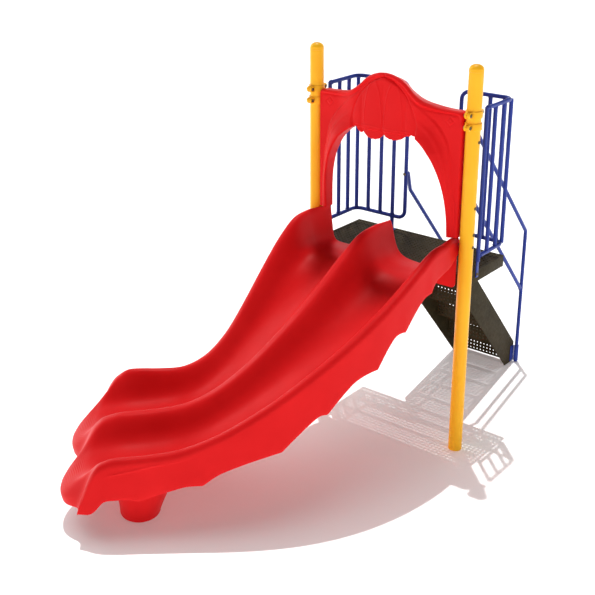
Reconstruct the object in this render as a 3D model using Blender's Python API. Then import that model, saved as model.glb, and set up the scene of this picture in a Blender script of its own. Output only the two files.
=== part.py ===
"""Playground double wave slide with entry arch, deck, closed-riser stair, barriers and handrails.

Design frame (under the parent empty): ground at Z = 0, the two posts stand on the X axis,
the chute leaves towards -Y and bends towards -X, the stair climbs from +Y.
The parent empty moves that frame so that the row's origin is the bottom centre of the whole box.
All sizes are metres.
"""
import math

import bmesh
import bpy
import numpy as np
from mathutils import Matrix, Vector

# ---- row origin: bottom centre of the overall box, seen from the middle of the post line ----
ROW_ORIGIN_X = -0.3327
ROW_ORIGIN_Y = -0.4231

GAP = 0.0003

# ---- posts ----
POST_R = 0.0889 / 2
POST_WALL = 0.0032
POST_X = 1.165 / 2
POST_TOP = 2.504
CAP_RISE = 0.045
CAP_SKIRT = 0.012
POST_SEGMENTS = 24

# ---- collars ----
COLLAR_H = 0.042
COLLAR_WALL = 0.0065
UPPER_COLLAR_Z = 2.257
LOWER_COLLAR_Z = 2.184
EAR_REACH = 0.036
EAR_WIDTH = 0.034
COLLAR_SPLIT = 0.003
EAR_EASE = 0.001
WEB_EASE = 0.0013
EAR_BOLT_LENGTH_PAST = 0.012
EAR_NUT = 0.0117

# ---- deck ----
DECK_H = 1.219
DECK_HALF_W = POST_X
DECK_FRONT = 0.0203
DECK_REAR = 0.497
DECK_SKIRT = 0.076
DECK_PLATE = 0.004
POST_CLEARANCE = 0.002
RIB_YS = (0.18, 0.34)
RIB_HALF_W = 0.020
RIB_WALL = 0.0035
RIB_TOP_T = 0.0035
RIB_IN = 0.030
RIB_UP = 0.010
BRACKET_T = 0.005
BRACKET_DROP = 0.070
BRACKET_FRONT = 0.0505
BRACKET_LEG_FRONT = 0.052
BRACKET_LEG_REAR = 0.130
BRACKET_FACE_W = 0.060

# ---- stair ----
RISERS = 6
RISE = DECK_H / RISERS
RUN = 0.1786
STAIR_X = 0.030
STAIR_HALF_W = 0.230
STRINGER_T = 0.006
STRINGER_TOP_Z = 1.170
STRINGER_FACE = 0.295
STRINGER_TOE_Y = 1.386
FIRST_NOSE_Y = 0.630
TREAD_T = 0.004
TREAD_TOE = 0.010
HANGER_W = 0.050
HANGER_T = 0.005
HANGER_LOW = 0.905
HANGER_HIGH = 1.008
TOE_BOLT_ZS = (0.045, 0.105)
TOE_HOLE_BACK = 0.028

# ---- tubes ----
RAIL_R = 0.0267 / 2
TUBE_SEGMENTS = 8
BEND_STEPS = 3

# ---- barriers ----
BARRIER_X = 0.5862
BARRIER_REAR_Y = 0.4575
BARRIER_PITCH = 0.1055
BARRIER_TOP = 2.264
BARRIER_BOTTOM = 1.3195
LEFT_END_X = -0.175
RIGHT_END_X = 0.226
REAR_PITCH = 0.1028
END_BEND = 0.055
TAB_T = 0.006
TAB_W = 0.030
TAB_TOP = 1.290
TAB_BOTTOM = 1.177
TAB_BOLT_Z = 1.200
TAB_HOLE_Z = 1.268
FOOT_T = 0.005
FOOT_BOLT_BACK = 0.0255
FOOT_HALF_W = 0.026
FOOT_BACK = 0.040
FOOT_FRONT = 0.018
SIDE_PITCHES = 3
CORNER_INSET = 0.006
TUBE_SINK = 0.004
FRAME_BOLT = 0.030
FRAME_NUT = 0.0150

# ---- handrails ----
HANDRAIL_OUT = 0.0265
HANDRAIL_Y = 1.385
UPPER_RAIL_Z = 2.110
LOWER_RAIL_Z = 1.640
BEND_Z = 1.070
JOINT_Z = 0.600
RAIL_STUB = 0.018
RAIL_TURN = 0.130
RAIL_BEND = 0.035
RAIL_BOLT = 0.013
PLATE_T = 0.006
PLATE_LOW = 0.012
PLATE_HIGH = 0.138
PLATE_BACK = 0.050
SADDLE_BACK = 0.020
SADDLE_FRONT = 0.008
SADDLE_WALL = 0.004
PLATE_HOLE_BACK = 0.035

# ---- arch panel ----
ARCH_HALF_W = 0.5305
ARCH_BOTTOM = 1.478
ARCH_FRONT = -0.040
ARCH_BACK = 0.040
SHOULDER_Z = 2.268
DOME_TOP = 2.424
DOME_HALF_W = 0.330
OPEN_HALF = 0.463
OPEN_SPRING = 1.500
OPEN_RISE = 0.600
OPEN_POWER = 2.5
HEM_Z = 2.045
OPEN_FOOT = 0.02
OPEN_SHOULDER = 0.37
DRAPE_PROUD = 0.063
DRAPE_HOLLOW = 0.034

# ---- chute ----
CHUTE_START_Y = 0.020
BEND_START = 0.26
BEND_END = 1.69
BEND_ANGLE = math.radians(47.5)
CREST_HALF = 0.524
ENTRY_SQUEEZE = 0.031
SQUEEZE_LENGTH = 0.20
CHUTE_CENTRE = CREST_HALF / 2
DIVIDER_WIDTH = 0.046
ENTRY_WALL = 0.030
RUN_WALL = 0.062
WALL_CHANGE = 0.60
RIM_OUT = 0.030
RIM_DROP = 0.040
SKIRT_FLARE = 0.010
SHELL = 0.008
NOSE_START = 1.95
FLANGE_HALF = 0.508
FLANGE_SHOULDER = 1.370
FLANGE_TOP_V = 1.8
FLANGE_BOTTOM = 1.125
FLANGE_T = 0.008
FLANGE_CORNER = 0.030

# ---- chute feet ----
FOOT_S = 1.87
FOOT_OFFSET = 0.262
FOOT_TOP_R = 0.212
FOOT_BASE_R = 0.121
FOOT_TOP_Z = 0.348
FOOT_LEAN = 0.16
FOOT_WALL = 0.008
FOOT_EDGE = 0.028
FOOT_SEGMENTS = 20

# ---- bolts ----
BOLT_R = 0.0048
BOLT_HOLE = 0.0053
BOLT_SEGMENTS = 8
HEAD_R = 0.0105
HEAD_H = 0.0060
ARCH_BOLT_Z = (2.090, 1.680, 1.510)
CHUTE_BOLT_Z = 1.430
FLANGE_BOLT_X = (-0.36, -0.13, 0.13, 0.36)
FLANGE_BOLT_Z = 1.160
HOLE_REACH = 0.03

RED = (0.68, 0.018, 0.018)
YELLOW = (0.98, 0.50, 0.03)
BLUE = (0.045, 0.075, 0.33)
BROWN = (0.050, 0.040, 0.022)
ZINC = (0.45, 0.45, 0.46)


# =====================================================================================
# scene helpers
# =====================================================================================
def clear_scene():
    for obj in list(bpy.data.objects):
        bpy.data.objects.remove(obj, do_unlink=True)


def material(name, colour, roughness, metallic):
    mat = bpy.data.materials.new(name)
    mat.use_nodes = True
    shader = mat.node_tree.nodes["Principled BSDF"]
    shader.inputs["Base Color"].default_value = (*colour, 1.0)
    shader.inputs["Roughness"].default_value = roughness
    shader.inputs["Metallic"].default_value = metallic
    return mat


def make_object(name, bm, mat, smooth_angle=35.0):
    """Turn a bmesh into a named object under the root empty."""
    bmesh.ops.recalc_face_normals(bm, faces=bm.faces)
    mesh = bpy.data.meshes.new(name)
    bm.to_mesh(mesh)
    bm.free()
    mesh.materials.append(mat)
    mesh.shade_smooth()
    mesh.set_sharp_from_angle(angle=math.radians(smooth_angle))
    obj = bpy.data.objects.new(name, mesh)
    bpy.context.scene.collection.objects.link(obj)
    obj.parent = ROOT
    return obj


def boolean(target, tools, operation):
    """Join or cut a target by tool objects with exact booleans, then drop the tools."""
    for tool in tools:
        mod = target.modifiers.new(operation.lower(), "BOOLEAN")
        mod.operation = operation
        mod.solver = "EXACT"
        mod.object = tool
    bpy.context.view_layer.update()
    graph = bpy.context.evaluated_depsgraph_get()
    result = bpy.data.meshes.new_from_object(target.evaluated_get(graph))
    target.modifiers.clear()
    target.data = result
    for tool in tools:
        bpy.data.objects.remove(tool, do_unlink=True)
    return target


def union(target, tools):
    return boolean(target, tools, "UNION")


def cut(target, tools):
    return boolean(target, tools, "DIFFERENCE")


# =====================================================================================
# shape helpers
# =====================================================================================
def box_mesh(low, high):
    bm = bmesh.new()
    bmesh.ops.create_cube(bm, size=1.0)
    low = Vector(low)
    high = Vector(high)
    bmesh.ops.scale(bm, vec=high - low, verts=bm.verts)
    bmesh.ops.translate(bm, vec=(low + high) / 2, verts=bm.verts)
    return bm


def prism_mesh(outline, start, end, place):
    """Extrude a closed 2-D outline from start to end; place(a, b, depth) gives the point."""
    bm = bmesh.new()
    near = [bm.verts.new(place(a, b, start)) for a, b in outline]
    far = [bm.verts.new(place(a, b, end)) for a, b in outline]
    bm.faces.new(near)
    bm.faces.new(list(reversed(far)))
    count = len(outline)
    for i in range(count):
        j = (i + 1) % count
        bm.faces.new((near[j], near[i], far[i], far[j]))
    return bm


def lathe_mesh(profile, segments, axis_start, axis_end):
    """Turn a profile of (radius, height) points; a radius of zero becomes a pole."""
    bm = bmesh.new()
    axis = (Vector(axis_end) - Vector(axis_start)).normalized()
    turn = Vector((0, 0, 1)).rotation_difference(axis).to_matrix()
    rings = []
    for radius, height in profile:
        if radius < 1e-9:
            rings.append([bm.verts.new(Vector(axis_start) + turn @ Vector((0, 0, height)))])
            continue
        ring = []
        for k in range(segments):
            angle = 2 * math.pi * (k + 0.5) / segments
            point = Vector((radius * math.cos(angle), radius * math.sin(angle), height))
            ring.append(bm.verts.new(Vector(axis_start) + turn @ point))
        rings.append(ring)
    closed = profile[0][0] > 1e-9
    last = len(rings) if closed else len(rings) - 1
    for i in range(last):
        a = rings[i]
        b = rings[(i + 1) % len(rings)]
        for k in range(segments):
            m = (k + 1) % segments
            if len(a) == 1:
                bm.faces.new((a[0], b[k], b[m]))
            elif len(b) == 1:
                bm.faces.new((a[k], a[m], b[0]))
            else:
                bm.faces.new((a[k], a[m], b[m], b[k]))
    return bm


def rounded_path(corners, radius, steps=BEND_STEPS):
    """Replace each inner corner of a polyline by a circular bend."""
    corners = [Vector(c) for c in corners]
    points = [corners[0]]
    for before, corner, after in zip(corners, corners[1:], corners[2:]):
        to_before = (before - corner).normalized()
        to_after = (after - corner).normalized()
        opening = to_before.angle(to_after)
        if opening > math.radians(175):
            points.append(corner)
            continue
        tangent = radius / math.tan(opening / 2)
        reach = min(tangent, 0.45 * (before - corner).length, 0.45 * (after - corner).length)
        bend = reach * math.tan(opening / 2)
        centre = corner + (to_before + to_after).normalized() * bend / math.sin(opening / 2)
        first = corner + to_before * reach - centre
        final = corner + to_after * reach - centre
        sweep = first.angle(final)
        for k in range(steps + 1):
            f = k / steps
            part = (math.sin((1 - f) * sweep) * first + math.sin(f * sweep) * final) / math.sin(sweep)
            points.append(centre + part)
    points.append(corners[-1])
    return points


def tube_mesh(points, radius=RAIL_R, segments=TUBE_SEGMENTS):
    """Sweep a round bar along a path, turning its frame as little as possible."""
    bm = bmesh.new()
    points = [Vector(p) for p in points]
    direction = (points[1] - points[0]).normalized()
    helper = Vector((0, 0, 1)) if abs(direction.z) < 0.9 else Vector((1, 0, 0))
    side = direction.cross(helper).normalized()
    rings = []
    for i, point in enumerate(points):
        ahead = points[min(i + 1, len(points) - 1)] - point
        behind = point - points[max(i - 1, 0)]
        tangent = (ahead.normalized() + behind.normalized()).normalized()
        side = (side - tangent * side.dot(tangent)).normalized()
        up = tangent.cross(side)
        ring = []
        for k in range(segments):
            angle = 2 * math.pi * k / segments
            ring.append(bm.verts.new(point + radius * (math.cos(angle) * side + math.sin(angle) * up)))
        rings.append(ring)
    for a, b in zip(rings, rings[1:]):
        for k in range(segments):
            m = (k + 1) % segments
            bm.faces.new((a[k], a[m], b[m], b[k]))
    bm.faces.new(list(reversed(rings[0])))
    bm.faces.new(rings[-1])
    return bm


def tube(name, corners, mat, bend=END_BEND, radius=RAIL_R):
    return make_object(name, tube_mesh(rounded_path(corners, bend), radius), mat)


def drill(start, end, radius=BOLT_HOLE, segments=BOLT_SEGMENTS):
    """A round cutter from start to end."""
    length = (Vector(end) - Vector(start)).length
    profile = [(0, 0), (radius, 0), (radius, length), (0, length)]
    return make_object("cutter", lathe_mesh(profile, segments, start, end), ZINC_MAT)


def bolt(name, head, tip, nut=0.0):
    """A round-head bolt from under its head to its tip; nut puts a nut's width before the tip."""
    length = (Vector(tip) - Vector(head)).length
    profile = [(0, -HEAD_H), (HEAD_R, -HEAD_H * 0.4), (HEAD_R, 0), (BOLT_R, 0)]
    if nut:
        profile += [(BOLT_R, length - nut), (HEAD_R, length - nut), (HEAD_R, length), (0, length)]
    else:
        profile += [(BOLT_R, length), (0, length)]
    return make_object(name, lathe_mesh(profile, BOLT_SEGMENTS, head, tip), ZINC_MAT)


def smoothstep(t):
    t = np.clip(t, 0.0, 1.0)
    return t * t * (3 - 2 * t)


def spline(x, stations, values):
    """Cubic through the stations with central-difference slopes."""
    stations = np.asarray(stations, float)
    values = np.asarray(values, float)
    slopes = np.gradient(values, stations)
    x = np.clip(x, stations[0], stations[-1])
    i = np.clip(np.searchsorted(stations, x, side="right") - 1, 0, len(stations) - 2)
    span = stations[i + 1] - stations[i]
    t = (x - stations[i]) / span
    h00 = (1 + 2 * t) * (1 - t) ** 2
    h10 = t * (1 - t) ** 2
    h01 = t * t * (3 - 2 * t)
    h11 = t * t * (t - 1)
    return h00 * values[i] + h10 * span * slopes[i] + h01 * values[i + 1] + h11 * span * slopes[i + 1]


# =====================================================================================
# chute surface
# =====================================================================================
# Height of the rim crest along the path, and the floor's depth below it.
CREST_S = (0.00, 0.18, 0.32, 0.46, 0.70, 0.99, 1.25, 1.43, 1.60, 1.78, 1.95)
CREST_Z = (1.468, 1.478, 1.462, 1.388, 1.221, 0.993, 0.777, 0.652, 0.577, 0.548, 0.536)
DEPTH_S = (0.00, 0.30, 0.52, 0.75, 1.10, 1.95)
DEPTH_Z = (0.243, 0.235, 0.207, 0.180, 0.168, 0.159)
# Depth of the skirt's edge below the crest: each scallop deepens slowly and steps back.
SKIRT_S = (0.00, 0.20, 0.33, 0.44, 0.59, 0.65, 0.75, 0.84, 0.99, 1.03, 1.18, 1.26, 1.36, 1.47, 1.62, 1.95)
SKIRT_Z = (0.078, 0.130, 0.174, 0.192, 0.252, 0.214, 0.296, 0.243, 0.294, 0.266, 0.311, 0.270, 0.222,
           0.247, 0.210, 0.240)
# The nose, beyond NOSE_START: path distance and height of floor, crest and skirt edge.
NOSE_T = (0.0, 0.25, 0.50, 0.70, 0.85, 0.95, 1.0)
FLOOR_NOSE_S = (1.950, 2.075, 2.195, 2.275, 2.320, 2.333, 2.325)
FLOOR_NOSE_Z = (0.377, 0.362, 0.334, 0.292, 0.245, 0.207, 0.178)
CREST_NOSE_S = (1.950, 2.028, 2.108, 2.168, 2.215, 2.240, 2.252)
CREST_NOSE_Z = (0.536, 0.521, 0.486, 0.414, 0.315, 0.255, 0.208)
SKIRT_NOSE_S = (1.950, 2.030, 2.066, 2.088, 2.107, 2.125, 2.140)
SKIRT_NOSE_Z = (0.296, 0.290, 0.262, 0.236, 0.219, 0.209, 0.206)
SIDE_PULLBACK = 0.055
# The rim on the inside of the bend stands a little higher at the exit.
INNER_RIM_LIFT = 0.030
CHUTE_STEPS = 20

PATH_STEP = 0.005


def path_table():
    """Plan position and heading of the chute's centre line, every PATH_STEP."""
    s = np.arange(0.0, 2.6, PATH_STEP)
    heading = BEND_ANGLE * smoothstep((s - BEND_START) / (BEND_END - BEND_START))
    middle = (heading[1:] + heading[:-1]) / 2
    x = np.concatenate(([0.0], np.cumsum(-np.sin(middle) * PATH_STEP)))
    y = CHUTE_START_Y + np.concatenate(([0.0], np.cumsum(-np.cos(middle) * PATH_STEP)))
    return s, x, y, heading


PATH = path_table()


def on_path(s, offset, z):
    """World point at path distance s, sideways offset (+X side first) and height z."""
    table_s, table_x, table_y, table_h = PATH
    x = np.interp(s, table_s, table_x)
    y = np.interp(s, table_s, table_y)
    heading = np.interp(s, table_s, table_h)
    return np.array((x + offset * np.cos(heading), y - offset * np.sin(heading), z))


def chute_lines(u):
    """(s, z) of floor, crest and skirt edge at station u; u runs to NOSE_START + 1."""
    if u <= NOSE_START:
        crest = spline(u, CREST_S, CREST_Z)
        floor = crest - spline(u, DEPTH_S, DEPTH_Z)
        skirt = crest - spline(u, SKIRT_S, SKIRT_Z)
        return (u, floor), (u, crest), (u, skirt)
    t = u - NOSE_START
    floor = (spline(t, NOSE_T, FLOOR_NOSE_S), spline(t, NOSE_T, FLOOR_NOSE_Z))
    crest = (spline(t, NOSE_T, CREST_NOSE_S), spline(t, NOSE_T, CREST_NOSE_Z))
    skirt = (spline(t, NOSE_T, SKIRT_NOSE_S), spline(t, NOSE_T, SKIRT_NOSE_Z))
    return floor, crest, skirt


def wall_rise(u, across):
    """Share of the wall's height reached at a distance across from the divider's crest."""
    opening = smoothstep(u / WALL_CHANGE)
    width = ENTRY_WALL + (RUN_WALL - ENTRY_WALL) * opening
    power = 4.0 - 0.8 * opening
    divider = 1 / (1 + (across / DIVIDER_WIDTH) ** 2.4)
    outer = 1 / (1 + (max(CREST_HALF - across, 0.0) / width) ** power)
    return min(divider + outer, 1.0)


def rim_lift(u):
    rising = smoothstep((u - 1.60) / (NOSE_START - 1.60))
    return INNER_RIM_LIFT * rising * (1 - smoothstep((u - NOSE_START) / 0.6))


def chute_point(u, v):
    """Point of the moulded surface: |v| <= 2 spans crest to crest, |v| in 2..3 is the skirt."""
    floor, crest, skirt = chute_lines(u)
    side = math.copysign(1.0, v)
    v = abs(v)
    squeeze = 1 - (ENTRY_SQUEEZE / CREST_HALF) * (1 - smoothstep(u / SQUEEZE_LENGTH))
    if v <= 2:
        across = CHUTE_CENTRE * v
        rise = wall_rise(u, across)
        s = floor[0] + (crest[0] - floor[0]) * rise
        z = floor[1] + (crest[1] - floor[1]) * rise
        if side < 0:
            z += rim_lift(u) * rise * smoothstep(v - 1)
        offset = across * squeeze
        s -= SIDE_PULLBACK * smoothstep(v - 1) * rise * smoothstep((u - NOSE_START) / 0.9)
        return on_path(s, side * offset, z)
    bend = min((v - 2) / 0.5, 1.0) * math.pi / 2
    fall = max((v - 2.5) / 0.5, 0.0)
    drop = min(RIM_DROP, 0.45 * (crest[1] - skirt[1]))
    low = crest[1] - drop * (1 - math.cos(bend))
    z = low + (skirt[1] - (crest[1] - drop)) * fall
    if side < 0:
        z += rim_lift(u) * (1 - fall)
    s = crest[0] + (skirt[0] - crest[0]) * fall
    s -= SIDE_PULLBACK * smoothstep((u - NOSE_START) / 0.9) * (1 - fall)
    offset = CREST_HALF * squeeze + RIM_OUT * math.sin(bend) + SKIRT_FLARE * fall
    return on_path(s, side * offset, z)


def below_surface(surface, u, v, u_limits, v_limits, depth):
    """Point at a depth under a surface(u, v), along its normal."""
    small = 1e-3
    along = surface(min(u + small, u_limits[1]), v) - surface(max(u - small, u_limits[0]), v)
    across = surface(u, min(v + small, v_limits[1])) - surface(u, max(v - small, v_limits[0]))
    normal = np.cross(along, across)
    return surface(u, v) - normal / np.linalg.norm(normal) * depth


def shell_mesh(surface, stations, columns, thickness):
    """Closed sheet of even thickness below a surface(u, v)."""
    bm = bmesh.new()
    u_limits = (stations[0], stations[-1])
    v_limits = (columns[0], columns[-1])
    rows = []
    for u in stations:
        row = []
        for v in columns:
            inside = below_surface(surface, u, v, u_limits, v_limits, thickness)
            row.append((bm.verts.new(surface(u, v)), bm.verts.new(inside)))
        rows.append(row)
    last_row = len(rows) - 1
    last_column = len(columns) - 1
    for i in range(last_row):
        for j in range(last_column):
            a, b, c, d = rows[i][j], rows[i][j + 1], rows[i + 1][j + 1], rows[i + 1][j]
            bm.faces.new((a[0], b[0], c[0], d[0]))
            bm.faces.new((d[1], c[1], b[1], a[1]))
    for i in range(last_row):
        for j in (0, last_column):
            a, b = rows[i][j], rows[i + 1][j]
            bm.faces.new((a[0], b[0], b[1], a[1]))
    for j in range(last_column):
        for i in (0, last_row):
            a, b = rows[i][j], rows[i][j + 1]
            bm.faces.new((a[0], b[0], b[1], a[1]))
    return bm


def half_columns():
    """Sideways stations of one half, closer together on the walls and rims."""
    divider = [0.0, 0.08, 0.16, 0.28, 0.46, 0.76]
    wall = [1.15, 1.45, 1.64, 1.77, 1.88, 2.0]
    skirt = [2.25, 2.5, 3.0]
    return divider + wall + skirt


def chute_columns():
    half = half_columns()
    return [-v for v in reversed(half[1:])] + half


def build_chute():
    straight = list(np.linspace(0.0, NOSE_START, CHUTE_STEPS))
    nose = [NOSE_START + t for t in (0.2, 0.4, 0.58, 0.74, 0.88, 1.0)]
    stations = straight + nose
    chute = make_object("slide_chute", shell_mesh(chute_point, stations, chute_columns(), SHELL), RED_MAT)
    union(chute, [make_object("flange", flange_mesh(), RED_MAT)])
    holes = []
    for x in FLANGE_BOLT_X:
        start = (x, CHUTE_START_Y - HOLE_REACH, FLANGE_BOLT_Z)
        end = (x, CHUTE_START_Y + HOLE_REACH, FLANGE_BOLT_Z)
        holes.append(drill(start, end))
    for side in (-1, 1):
        start = (side * 0.505, 0.0, CHUTE_BOLT_Z)
        holes.append(drill(start, (side * 0.56, 0.0, CHUTE_BOLT_Z)))
    cut(chute, holes)
    return chute


def flange_mesh():
    """Upright mounting flange under the chute's entry; its top follows the moulding."""
    top = []
    columns = chute_columns()
    for v in columns:
        if abs(v) <= FLANGE_TOP_V:
            point = below_surface(chute_point, 0.0, v, (0.0, 1.0), (columns[0], columns[-1]), SHELL / 2)
            top.append((point[0], point[2]))
    outline = [(-FLANGE_HALF, FLANGE_SHOULDER)] + top + [(FLANGE_HALF, FLANGE_SHOULDER)]
    for side in (1, -1):
        centre_x = side * (FLANGE_HALF - FLANGE_CORNER)
        centre_z = FLANGE_BOTTOM + FLANGE_CORNER
        turns = (0, 30, 60, 90) if side > 0 else (90, 60, 30, 0)
        for degrees in turns:
            angle = math.radians(degrees)
            x = centre_x + side * FLANGE_CORNER * math.cos(angle)
            outline.append((x, centre_z - FLANGE_CORNER * math.sin(angle)))
    place = lambda a, b, depth: Vector((a, depth, b))
    return prism_mesh(outline, CHUTE_START_Y - FLANGE_T, CHUTE_START_Y - 0.0001, place)


def build_feet():
    """Flared hollow cups that carry the exit end of each bed and lean back up the path."""
    corner = []
    for degrees in (0, 30, 60, 90):
        angle = math.radians(degrees)
        radius = FOOT_BASE_R - FOOT_EDGE + FOOT_EDGE * math.sin(angle)
        corner.append((radius, FOOT_EDGE - FOOT_EDGE * math.cos(angle)))
    flare = []
    for part in (0.35, 0.7, 1.0):
        height = FOOT_EDGE + (FOOT_TOP_Z - FOOT_EDGE) * part
        flare.append((FOOT_BASE_R + (FOOT_TOP_R - FOOT_BASE_R) * part ** 1.2, height))
    outer = [(0.0, 0.0)] + corner + flare
    inner = [(radius - FOOT_WALL, height) for radius, height in reversed(flare)]
    inner += [(FOOT_BASE_R - FOOT_EDGE, FOOT_WALL), (0.0, FOOT_WALL)]
    for name, offset in (("left_foot", -FOOT_OFFSET), ("right_foot", FOOT_OFFSET)):
        x, y, _ = on_path(FOOT_S, offset, 0.0)
        bm = lathe_mesh(outer + inner, FOOT_SEGMENTS, (x, y, 0), (x, y, 1))
        lean_x = FOOT_LEAN * math.sin(BEND_ANGLE)
        lean_y = FOOT_LEAN * math.cos(BEND_ANGLE)
        for vert in bm.verts:
            height = max(vert.co.z - FOOT_EDGE, 0.0)
            vert.co.x += lean_x * height
            vert.co.y += lean_y * height
        make_object(name, bm, RED_MAT)


# =====================================================================================
# arch panel
# =====================================================================================
def arch_outline(turn):
    """Outer edge, from the left leg's foot (0) over the dome (0.5) to the right leg (1)."""
    side = -1.0 if turn < 0.5 else 1.0
    f = turn if turn < 0.5 else 1 - turn
    if f < 0.28:
        return side * ARCH_HALF_W, ARCH_BOTTOM + (SHOULDER_Z - ARCH_BOTTOM) * f / 0.28
    x = ARCH_HALF_W * (1 - (f - 0.28) / 0.22)
    slope = 0.022 * (1 - x / ARCH_HALF_W)
    crown = DOME_TOP - SHOULDER_Z - 0.022
    z = SHOULDER_Z + slope + crown * (1 - smoothstep(x / DOME_HALF_W))
    return side * x, z


def arch_opening(turn):
    """Edge of the opening on the same parameter: rounded sides, then the flat hem of the canopy."""
    side = -1.0 if turn < 0.5 else 1.0
    f = turn if turn < 0.5 else 1 - turn
    if f < OPEN_FOOT:
        return side * OPEN_HALF, ARCH_BOTTOM + (OPEN_SPRING - ARCH_BOTTOM) * f / OPEN_FOOT
    power = 2 / OPEN_POWER
    hem_angle = math.asin(((HEM_Z - OPEN_SPRING) / OPEN_RISE) ** (1 / power))
    if f < OPEN_SHOULDER:
        angle = (f - OPEN_FOOT) / (OPEN_SHOULDER - OPEN_FOOT) * hem_angle
        return side * OPEN_HALF * math.cos(angle) ** power, OPEN_SPRING + OPEN_RISE * math.sin(angle) ** power
    corner = OPEN_HALF * math.cos(hem_angle) ** power
    return side * corner * (0.5 - f) / (0.5 - OPEN_SHOULDER), HEM_Z


def arch_faces(turn, v):
    """Y of the front and back faces, v = 0 at the opening and 1 at the outer edge."""
    z = arch_opening(turn)[1]
    drape = 0.007 + DRAPE_PROUD * smoothstep((z - OPEN_SPRING) / 0.5)
    front = ARCH_FRONT - drape * (1 - smoothstep((v - 0.3) / 0.7))
    hollow = 0.016 + DRAPE_HOLLOW * smoothstep((z - OPEN_SPRING) / 0.55)
    return front, ARCH_BACK - hollow * (1 - smoothstep(v))


def build_arch():
    bm = bmesh.new()
    columns = (0.0, 0.3, 0.55, 0.8, 1.0)
    loops = []
    for turn in np.linspace(0.0, 1.0, 35):
        inner = arch_opening(turn)
        outer = arch_outline(turn)
        front = []
        back = []
        for v in columns:
            x = inner[0] + (outer[0] - inner[0]) * v
            z = inner[1] + (outer[1] - inner[1]) * v
            front_y, back_y = arch_faces(turn, v)
            front.append(bm.verts.new((x, front_y, z)))
            back.append(bm.verts.new((x, back_y, z)))
        loops.append(front + list(reversed(back)))
    size = len(loops[0])
    for a, b in zip(loops, loops[1:]):
        for k in range(size):
            m = (k + 1) % size
            bm.faces.new((a[k], a[m], b[m], b[k]))
    half = size // 2
    for loop in (loops[0], loops[-1]):
        for k in range(half - 1):
            bm.faces.new((loop[k], loop[k + 1], loop[size - 2 - k], loop[size - 1 - k]))
    arch = make_object("arch_panel", bm, RED_MAT)
    holes = []
    for side in (-1, 1):
        for z in ARCH_BOLT_Z:
            holes.append(drill((side * (ARCH_HALF_W - 0.036), 0, z), (side * (ARCH_HALF_W + 0.02), 0, z)))
    cut(arch, holes)
    return arch


# =====================================================================================
# posts, caps, collars
# =====================================================================================
def build_posts():
    ring = [(POST_R, 0.0), (POST_R, POST_TOP), (POST_R - POST_WALL, POST_TOP), (POST_R - POST_WALL, 0.0)]
    plug = POST_R - POST_WALL - GAP
    for name, side in (("left", -1), ("right", 1)):
        x = side * POST_X
        post = make_object(name + "_post", lathe_mesh(ring, POST_SEGMENTS, (x, 0, 0), (x, 0, 1)), YELLOW_MAT)
        holes = []
        for z in ARCH_BOLT_Z + (CHUTE_BOLT_Z,):
            holes.append(drill((x - 0.07, 0, z), (x + 0.07, 0, z)))
        cut(post, holes)
        dome = [(0.0, -0.030), (plug, -0.030), (plug, GAP), (POST_R, GAP), (POST_R, CAP_SKIRT)]
        for degrees in (15, 30, 45, 60, 75):
            angle = math.radians(degrees)
            height = CAP_SKIRT + (CAP_RISE - CAP_SKIRT) * math.sin(angle)
            dome.append((POST_R * math.cos(angle), height))
        dome.append((0.0, CAP_RISE))
        bm = lathe_mesh(dome, POST_SEGMENTS, (x, 0, POST_TOP), (x, 0, POST_TOP + 1))
        make_object(name + "_post_cap", bm, YELLOW_MAT)


def build_collar(name, side, z, ears):
    """Cast clamp ring: a split ear pair towards the barrier and, on the upper ones, a front ear."""
    x = side * POST_X
    low = z - COLLAR_H / 2
    inner = POST_R + GAP
    outer = inner + COLLAR_WALL
    ring = [(outer, 0.0), (outer, COLLAR_H), (inner, COLLAR_H), (inner, 0.0)]
    collar = make_object(name, lathe_mesh(ring, POST_SEGMENTS, (x, 0, low), (x, 0, low + 1)), YELLOW_MAT)
    parts = []
    half = EAR_WIDTH / 2
    for direction in ears:
        bm = bmesh.new()
        ear_r = COLLAR_H / 2 - EAR_EASE
        bmesh.ops.create_cone(bm, cap_ends=True, segments=16, radius1=ear_r, radius2=ear_r, depth=EAR_WIDTH)
        bmesh.ops.rotate(bm, matrix=Matrix.Rotation(math.pi / 2, 3, "Y"), verts=bm.verts)
        ear_y = direction * (outer + EAR_REACH - COLLAR_H / 2)
        bmesh.ops.translate(bm, vec=(x, ear_y, z), verts=bm.verts)
        parts.append(make_object("ear", bm, YELLOW_MAT))
        low_y = direction * (inner + 0.003)
        reach = sorted((low_y, ear_y))
        block = box_mesh((x - half, reach[0], low + WEB_EASE), (x + half, reach[1], low + COLLAR_H - WEB_EASE))
        parts.append(make_object("web", block, YELLOW_MAT))
    union(collar, parts)
    cutters = []
    for direction in ears:
        y = direction * (outer + EAR_REACH - COLLAR_H / 2)
        cutters.append(drill((x - 0.05, y, z), (x + 0.05, y, z)))
    split_y = sorted((ears[0] * 0.03, ears[0] * 0.12))
    slot = box_mesh((x - COLLAR_SPLIT / 2, split_y[0], low - 0.01),
                    (x + COLLAR_SPLIT / 2, split_y[1], low + COLLAR_H + 0.01))
    cutters.append(make_object("slot", slot, YELLOW_MAT))
    cut(collar, cutters)
    for direction in ears:
        y = direction * (outer + EAR_REACH - COLLAR_H / 2)
        where = "rear" if direction > 0 else "front"
        head = (x + half + GAP, y, z)
        bolt(name + "_" + where + "_bolt", head, (x - half - EAR_BOLT_LENGTH_PAST, y, z), nut=EAR_NUT)
    return collar


def build_collars():
    for label, side in (("left", -1), ("right", 1)):
        build_collar(label + "_upper_collar", side, UPPER_COLLAR_Z, (1, -1))
        build_collar(label + "_lower_collar", side, LOWER_COLLAR_Z, (-1,))


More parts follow.
